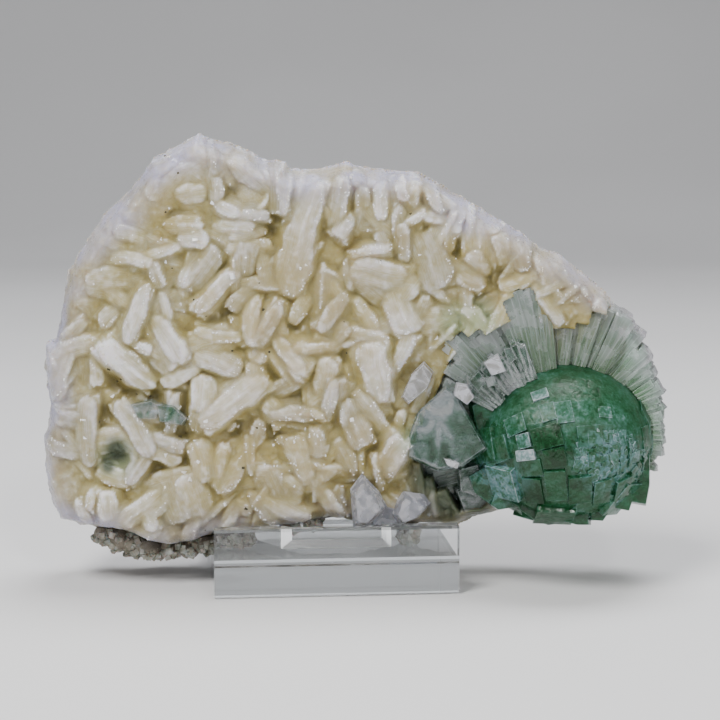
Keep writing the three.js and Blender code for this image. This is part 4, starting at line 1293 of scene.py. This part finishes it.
def ball_crystals():
    """The bars of the ball, each with its top's middle, axes, sizes and tone."""
    rows = []
    for px, py, width, height, turn, proud, tone in BALL_FACES_PX:
        place, normal = ellipsoid_point(px, py)
        scale = pixel(place[1])
        sizes = (width * scale, height * scale)
        rows.append((place + proud * normal, *face_axes(normal, turn), sizes, tone))
    random = np.random.default_rng(5)
    middle_x, middle_y, half_width, half_height = PATCH_PX
    for row in range(PATCH_GRID[1]):
        for column in range(PATCH_GRID[0]):
            px = PATCH_START_PX[0] + PATCH_STEP_PX[0] * column + random.uniform(-2.5, 2.5)
            py = PATCH_START_PX[1] + PATCH_STEP_PX[1] * row + random.uniform(-2.5, 2.5)
            if math.hypot((px - middle_x) / half_width, (py - middle_y) / half_height) > 1:
                continue
            place, normal = ellipsoid_point(px, py)
            lean = unit(normal + random.uniform(-0.16, 0.16, 3))
            sizes = random.uniform(0.8, 2.0, 2)
            top = place + random.uniform(-0.12, 0.12) * normal
            axes = face_axes(lean, random.uniform(-25, 40))
            rows.append((top, *axes, sizes, random.uniform(-0.1, 0.14)))
    numbers = sequence(41)
    for i in range(BALL_CRYSTALS):
        forward = 1 - 2 * (i + 0.5) / BALL_CRYSTALS
        ring = math.sqrt(1 - forward * forward)
        turn = i * math.pi * (3 - math.sqrt(5))
        out = np.array([ring * math.cos(turn), -forward, ring * math.sin(turn)])
        a, b, c = next(numbers), next(numbers), next(numbers)
        place = BALL_MIDDLE + out * BALL_RADII
        near = min(np.linalg.norm(place - row[0]) for row in rows)
        if forward < -0.3 or out[2] > 0.35 - 0.2 * out[0] or near < 2.6:
            continue
        normal = unit(out / BALL_RADII)
        side = BALL_CRYSTAL_SIDE * (0.95 + 0.45 * a)
        sizes = (side, side * (0.8 + 0.4 * c))
        tone = 0.2 * (c - 0.5)
        lean = unit(normal + 0.16 * np.array([a - 0.5, 0, c - 0.5]))
        rows.append((place + (1.3 * b - 0.7) * normal, *face_axes(lean, 180 * a), sizes, tone))
    return rows


def ball_core():
    """The ball's rounded body, drawn in a little where the square crystals cover it."""
    mesh = ellipsoid(BALL_MIDDLE, BALL_RADII, 6)
    points = points_of(mesh)
    spoke = (points - BALL_MIDDLE) / BALL_RADII
    dome = smooth_step(spoke[:, 2] + 0.2 * spoke[:, 0], 0.12, 0.4)
    share = 0.982 + 0.013 * dome + 0.004 * noise(points, 4.0, 3) + 0.002 * noise(points, 1.3, 4)
    move_points(mesh, BALL_MIDDLE + spoke * share[:, None] * BALL_RADII)
    return mesh


def ball_mesh():
    bars = [
        bar(top, u, v, (*sizes, BALL_CRYSTAL_LENGTH), 0.1, tone)
        for top, u, v, sizes, tone in ball_crystals()
    ]
    blocks = [
        hull(block_points(outline, face, inset, BALL_Y + 4), 0.12, tone)
        for outline, face, inset, tone in BALL_BLOCKS_PX
    ]
    behind = BALL_MIDDLE * [1, 0, 1] + [0, BED_BACK_Y, 0]
    back = bar(behind, np.array([1.0, 0, 0]), np.array([0, 0, 1.0]), BALL_BACK_CUT)
    mesh = fused("apophyllite_ball", [ball_core(), *bars, *blocks], [back])
    points = points_of(mesh)
    seen = seen_at(points)
    spoke = (points - BALL_MIDDLE) / BALL_RADII
    # Lighter in the hazy spots, and darker in the shade spots as painted shade.
    mark(mesh, "haze_and_shade", spots(seen, BALL_HAZE_PX, 0.09) - spots(seen, BALL_SHADE_PX, 0.07))
    mark(mesh, "teal", spots(seen, BALL_TEAL_PX, 0.6))
    mark(mesh, "matt", smooth_step(spoke[:, 2] + 0.2 * spoke[:, 0], 0.0, 0.3))
    return mesh


# Blocky crystals


def block_points(outline, face, inset, root):
    middle = np.mean([traced(*corner, root) for corner in outline], axis=0)

    def place(corner, y, share):
        spot = middle + (traced(*corner, y) - middle) * share
        spot[1] = y
        return spot

    levels = ((face, 1 - inset), (face + BLOCK_END, 1), (root, BLOCK_ROOT))
    return [place(corner, y, share) for y, share in levels for corner in outline]


def blocks_mesh(name, rows, root, cutters=()):
    return fused(name, [hull(block_points(*row, root)) for row in rows], cutters)


def rim_mesh():
    """Frosted blocks that stick out at the ball's upper left."""
    mesh = blocks_mesh("rim_crystals", RIM_BLOCKS_PX, BALL_Y, [ball_room(0.1)])
    mark(mesh, "haze_and_shade", np.full(len(mesh.vertices), RIM_HAZE))
    return mesh


def wedge():
    """The large clear crystal: one flat front with a rim, and sides that run back to the plate."""
    depths = [WEDGE_FACE_Y - WEDGE_LEAN * (px - WEDGE_PX[3][0]) for px, py in WEDGE_PX]
    front = np.array([traced(*corner, depth) for corner, depth in zip(WEDGE_PX, depths)])
    rim = [traced(*corner, depth + WEDGE_RIM) for corner, depth in zip(WEDGE_PX, depths)]
    root = np.array([traced(*corner, SIDE_ROOT_Y) for corner in WEDGE_PX])
    front = front.mean(axis=0) + WEDGE_FRONT * (front - front.mean(axis=0))
    root = root.mean(axis=0) + BLOCK_ROOT * (root - root.mean(axis=0))
    return hull([*front, *rim, *root], BEVEL)


def wedge_mesh():
    mesh = divided(fused("wedge_crystal", [wedge()], [ball_room(0.1)]), WEDGE_NET)
    seen = seen_at(points_of(mesh))
    # Lighter in the haze, and darker as painted shade in the dark spots.
    mark(mesh, "haze_and_shade", spots(seen, CLEAR_HAZE_PX, 0.12) - spots(seen, CLEAR_SHADE_PX, 0.3))
    return mesh


def collar():
    """A band of glassy prisms that stands round the dome's left."""
    random = np.random.default_rng(8)
    scale = pixel(COLLAR_FACE_Y)
    strips = []
    for bearing in np.radians(np.linspace(*COLLAR_BEARINGS, COLLAR_PRISMS)):
        outer = (COLLAR_OUTER_PX + random.uniform(-5, 3)) * scale
        half = random.uniform(3.2, 4.4) * scale
        face = COLLAR_FACE_Y - random.uniform(0, 1.2)
        slope = random.uniform(-0.3, 0.3)
        strips.append(fan_strip(bearing, outer, half, face, COLLAR_BACK_Y, slope, COLLAR_BEVEL))
    return strips


def collar_mesh():
    blocks = [hull(block_points(*row, BALL_Y)) for row in GLASS_BLOCKS_PX]
    return fused("collar_prisms", collar() + blocks, [ball_room(0.1)])


def ball_room(extra):
    """The room of the ball and a gap round it, which is cut from its neighbours."""
    return ellipsoid(BALL_MIDDLE, BALL_RADII + extra, 5)


# Fan

def fan_strip(bearing, outer, half, face, back, slope, bevel=0.09):
    out = np.array([math.cos(bearing), 0, math.sin(bearing)])
    across = np.array([-out[2], 0, out[0]])
    inner = FAN_INNER_PX * pixel(FAN_FACE_Y)
    tip = face + FAN_TIP_FALL
    corners = [
        (inner, FAN_FLARE * half, face), (inner, -FAN_FLARE * half, face),
        (outer - FAN_TIP_LENGTH, half, face + 0.3), (outer - FAN_TIP_LENGTH, -half, face),
        (outer + slope, 0.95 * half, tip), (outer - slope, -0.95 * half, tip),
        (outer + slope, 0.95 * half, back), (outer - slope, -0.95 * half, back),
        (inner, FAN_FLARE * half, back), (inner, -FAN_FLARE * half, back),
    ]
    middle = BED_BALL_MIDDLE * [1, 0, 1]
    return hull([middle + reach * out + side * across + [0, y, 0] for reach, side, y in corners], bevel)


def fan_mesh():
    random = np.random.default_rng(12)
    strips = []
    scale = pixel(FAN_FACE_Y)
    for bearing, outer, width, proud in ALL_PRISMS_PX:
        half = width * scale / 2
        for k in range(FAN_STRIPS):
            c = (2 * k + 1) / FAN_STRIPS - 1
            angle = math.radians(bearing) + c * half / (outer * scale) + random.uniform(-0.006, 0.006)
            length = outer * scale + random.uniform(-1.1, 0.3)
            strip_half = half / FAN_STRIPS * random.uniform(1.3, 2.0)
            face = FAN_FACE_Y - proud + random.uniform(-0.1, 0.35) + 0.35 * c * c
            back = FAN_BACK_Y - random.uniform(0, 0.5)
            strips.append(fan_strip(angle, length, strip_half, face, back, random.uniform(-0.4, 0.4)))
    mesh = fused("apophyllite_fan", strips, [ball_room(0.0)])
    points = points_of(mesh)
    away = points - BALL_MIDDLE
    reach = np.hypot(away[:, 0], away[:, 2])
    bearing = np.arctan2(away[:, 2], away[:, 0])
    turn = np.degrees(np.where(bearing < -math.pi / 2, bearing + 2 * math.pi, bearing))
    bearings, outers, *_ = np.transpose(ALL_PRISMS_PX)
    outer = np.interp(turn, bearings, outers * scale)
    share = (reach - BALL_RADII[0]) / (outer - BALL_RADII[0])
    mark(mesh, "out", smooth_step(share, 0.1, 0.9))
    crust = smooth_step(share + 0.06 * noise(points, 1.5, 5), 0.82, 0.98) * smooth_step(turn, 78, 60)
    mark(mesh, "crust", crust)
    mark(mesh, "warm", spots(seen_at(points), FAN_WARM_PX, 0.7))
    mark(mesh, "grain", np.stack([reach * 0.1, bearing * 45, points[:, 1] * 0.2], -1))
    return mesh


# Matrix


def matrix_mesh():
    mesh = softened("matrix", ROCK_VOXEL)
    points, normals = points_of(mesh), normals_of(mesh)
    behind = smooth_step(points[:, 1], ROCK_FRONT_Y, 5.0)
    ledges = abs(noise(points, 13.0, 11)) ** 0.5 + 0.5 * abs(noise(points, 6.0, 12)) ** 0.5
    rough = (2.4 * (ledges - 1.0) + 0.5 * noise(points, 3.5, 7)) * behind + 0.25 * noise(points, 1.4, 8)
    moved = points + rough[:, None] * normals
    kept_back = np.maximum(moved[:, 1], points[:, 1])
    moved[:, 1] = np.where(points[:, 1] < ROCK_FRONT_Y, kept_back, moved[:, 1])
    x, z = moved[:, 0].copy(), moved[:, 2].copy()
    room = [
        signed_distance(x + a * CELL, z + b * CELL, PLATE_OUTLINE_PX, BED_EDGE_Y)
        for a, b in ((0, 0), (1, 0), (0, 1))
    ]
    slope = np.stack([room[1] - room[0], room[2] - room[0]], -1) / CELL
    pull = np.maximum(MATRIX_MARGIN - room[0], 0) * smooth_step(z, 15, 30)
    moved[:, [0, 2]] += slope * pull[:, None]
    move_points(mesh, moved)
    return mesh


def druse_mesh():
    """Small blocky crystals over the lumps under the plate."""
    random = np.random.default_rng(17)
    whole = bmesh.new()
    for px, py, radius in DRUSE_LUMPS_PX:
        middle = traced(px, py, DRUSE_Y)
        for _ in range(DRUSE_CRYSTALS):
            out = unit(random.normal(size=3) * [1, 1, 0.8] - [0, 0.5, 0.5])
            place = middle + out * radius * random.uniform(0.7, 1.0) * [1.1, 1.4, 0.95]
            size = random.uniform(0.5, 1.4)
            add_box(whole, size, (1, 1, 1), any_turn(random), place)
    return boxes_mesh("druse", whole, 0.08)


def scattered(name, rows, ground, seed, sizes):
    """Small bevelled crystals on the ground, where the camera's rays through the pixels meet it."""
    random = np.random.default_rng(seed)
    faces = [tuple(face.vertices) for face in ground.polygons]
    tree = BVHTree.FromPolygons(points_of(ground).tolist(), faces)
    whole = bmesh.new()
    for px, py, *width in rows:
        place = tree.ray_cast(Vector(EYE), Vector(ray(px, py)))[0]
        across = FACET_SHARE * width[0] * pixel(place.y) if width else random.uniform(*sizes)
        shape = (1, 0.7, random.uniform(0.6, 1))
        sunk = place + Vector((0, 0.3 * across, 0))
        add_box(whole, across, shape, any_turn(random, 0.2, 0.9), sunk)
    return boxes_mesh(name, whole, 0.06)


# Stage


def camera():
    data = bpy.data.cameras.new("camera")
    data.lens = LENS_MM
    data.sensor_width = SENSOR_MM
    data.clip_start = 0.01
    made = linked("camera", data)
    made.location = Vector(EYE * MM)
    made.rotation_euler = (math.pi / 2 - LOOK_DOWN, 0, 0)
    bpy.context.scene.camera = made


def light(name, place, size, power, colour=(1, 1, 1)):
    data = bpy.data.lights.new(name, "AREA")
    data.shape = "DISK"
    data.size = size
    data.energy = power
    data.color = colour
    made = linked(name, data)
    made.location = place
    towards = Vector(SPECIMEN_MIDDLE) - made.location
    made.rotation_euler = towards.to_track_quat("-Z", "Y").to_euler()


def stage():
    """A pale floor that curves up far behind."""
    profile = [(FLOOR_START_Y, 0.0), (BEND_Y, 0.0)]
    for turn in np.linspace(0.1, math.pi / 2, BEND_STEPS):
        rise = BEND_RADIUS - BEND_RADIUS * math.cos(turn)
        profile.append((BEND_Y + BEND_RADIUS * math.sin(turn), rise))
    profile.append(BACKDROP_TOP)
    points = [(x, y, z - FLOOR_DROP) for y, z in profile for x in (-FLOOR_HALF, FLOOR_HALF)]
    faces = [(2 * i, 2 * i + 1, 2 * i + 3, 2 * i + 2) for i in range(len(profile) - 1)]
    mesh = bpy.data.meshes.new("floor")
    mesh.from_pydata(points, [], faces)
    mesh.shade_smooth()
    mesh.materials.append(floor_material())
    linked("floor", mesh)
    world = bpy.data.worlds.new("studio")
    world.use_nodes = True
    background = world.node_tree.nodes["Background"]
    background.inputs["Color"].default_value = SKY
    background.inputs["Strength"].default_value = SKY_STRENGTH
    bpy.context.scene.world = world
    for row in LIGHTS:
        light(*row)


camera()
stage()

bed, relief = stilbite_mesh()
colour_marks(bed)
specks = scattered("dark_specks", SPECKS_PX, bed, 4, (0.35, 0.75))
facets = scattered("bright_facets", FACETS_PX, bed, 7, (1, 1))
sparkle = sparkle_material()
piece("stilbite_plate", bed, stilbite_material(), "stilbite_bed")
crumbs("stilbite_sparkles", sparkles_mesh(relief), sparkle, "stilbite_bed")
crumbs("dark_specks", specks, speck_material(), "stilbite_bed")
crumbs("bright_facets", facets, sparkle, "stilbite_bed")

piece("matrix_rock", matrix_mesh(), rock_material(), "matrix")
crumbs("druse", druse_mesh(), druse_material(), "matrix")

glass = clear_material("clear_apophyllite", CLEAR, 0.8, (0.02, 0.25))
dark_glass = clear_material("glassy_apophyllite", GLASSY, 0.8, (0.02, 0.2))
frosted = clear_material("frosted_apophyllite", FROSTED, 0.5, (0.15, 0.45))
side = blocks_mesh("side_crystals", SIDE_CRYSTALS_PX, SIDE_ROOT_Y, [ball_room(0.3)])
glassy = blocks_mesh("glassy_crystals", GLASSY_CRYSTALS_PX, GLASSY_ROOT_Y)
white = blocks_mesh("white_crystals", WHITE_CRYSTALS_PX, BLADE_ROOT_Y)
pale = pale_material(PALE_INNER, PALE_OUTER)
ball = ball_mesh()
green = green_material()
crystals("apophyllite_ball_crystals", ball, green, "apophyllite_ball", 25)
crystals("rim_crystals", rim_mesh(), frosted, "apophyllite_ball")
crystals("collar_prisms", collar_mesh(), dark_glass, "apophyllite_ball")
crystals("wedge_crystal", wedge_mesh(), glass, "side_crystals")
crystals("side_crystals_clear", side, frosted, "side_crystals")
crystals("glassy_crystals_clear", glassy, glass, "glassy_crystals")
crystals("white_crystals_fine", white, white_material(), "white_crystals")
crystals("apophyllite_fan_prisms", fan_mesh(), pale, "apophyllite_fan")

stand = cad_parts["acrylic_stand"]
stand.data.materials.clear()
stand.data.materials.append(acrylic_material())
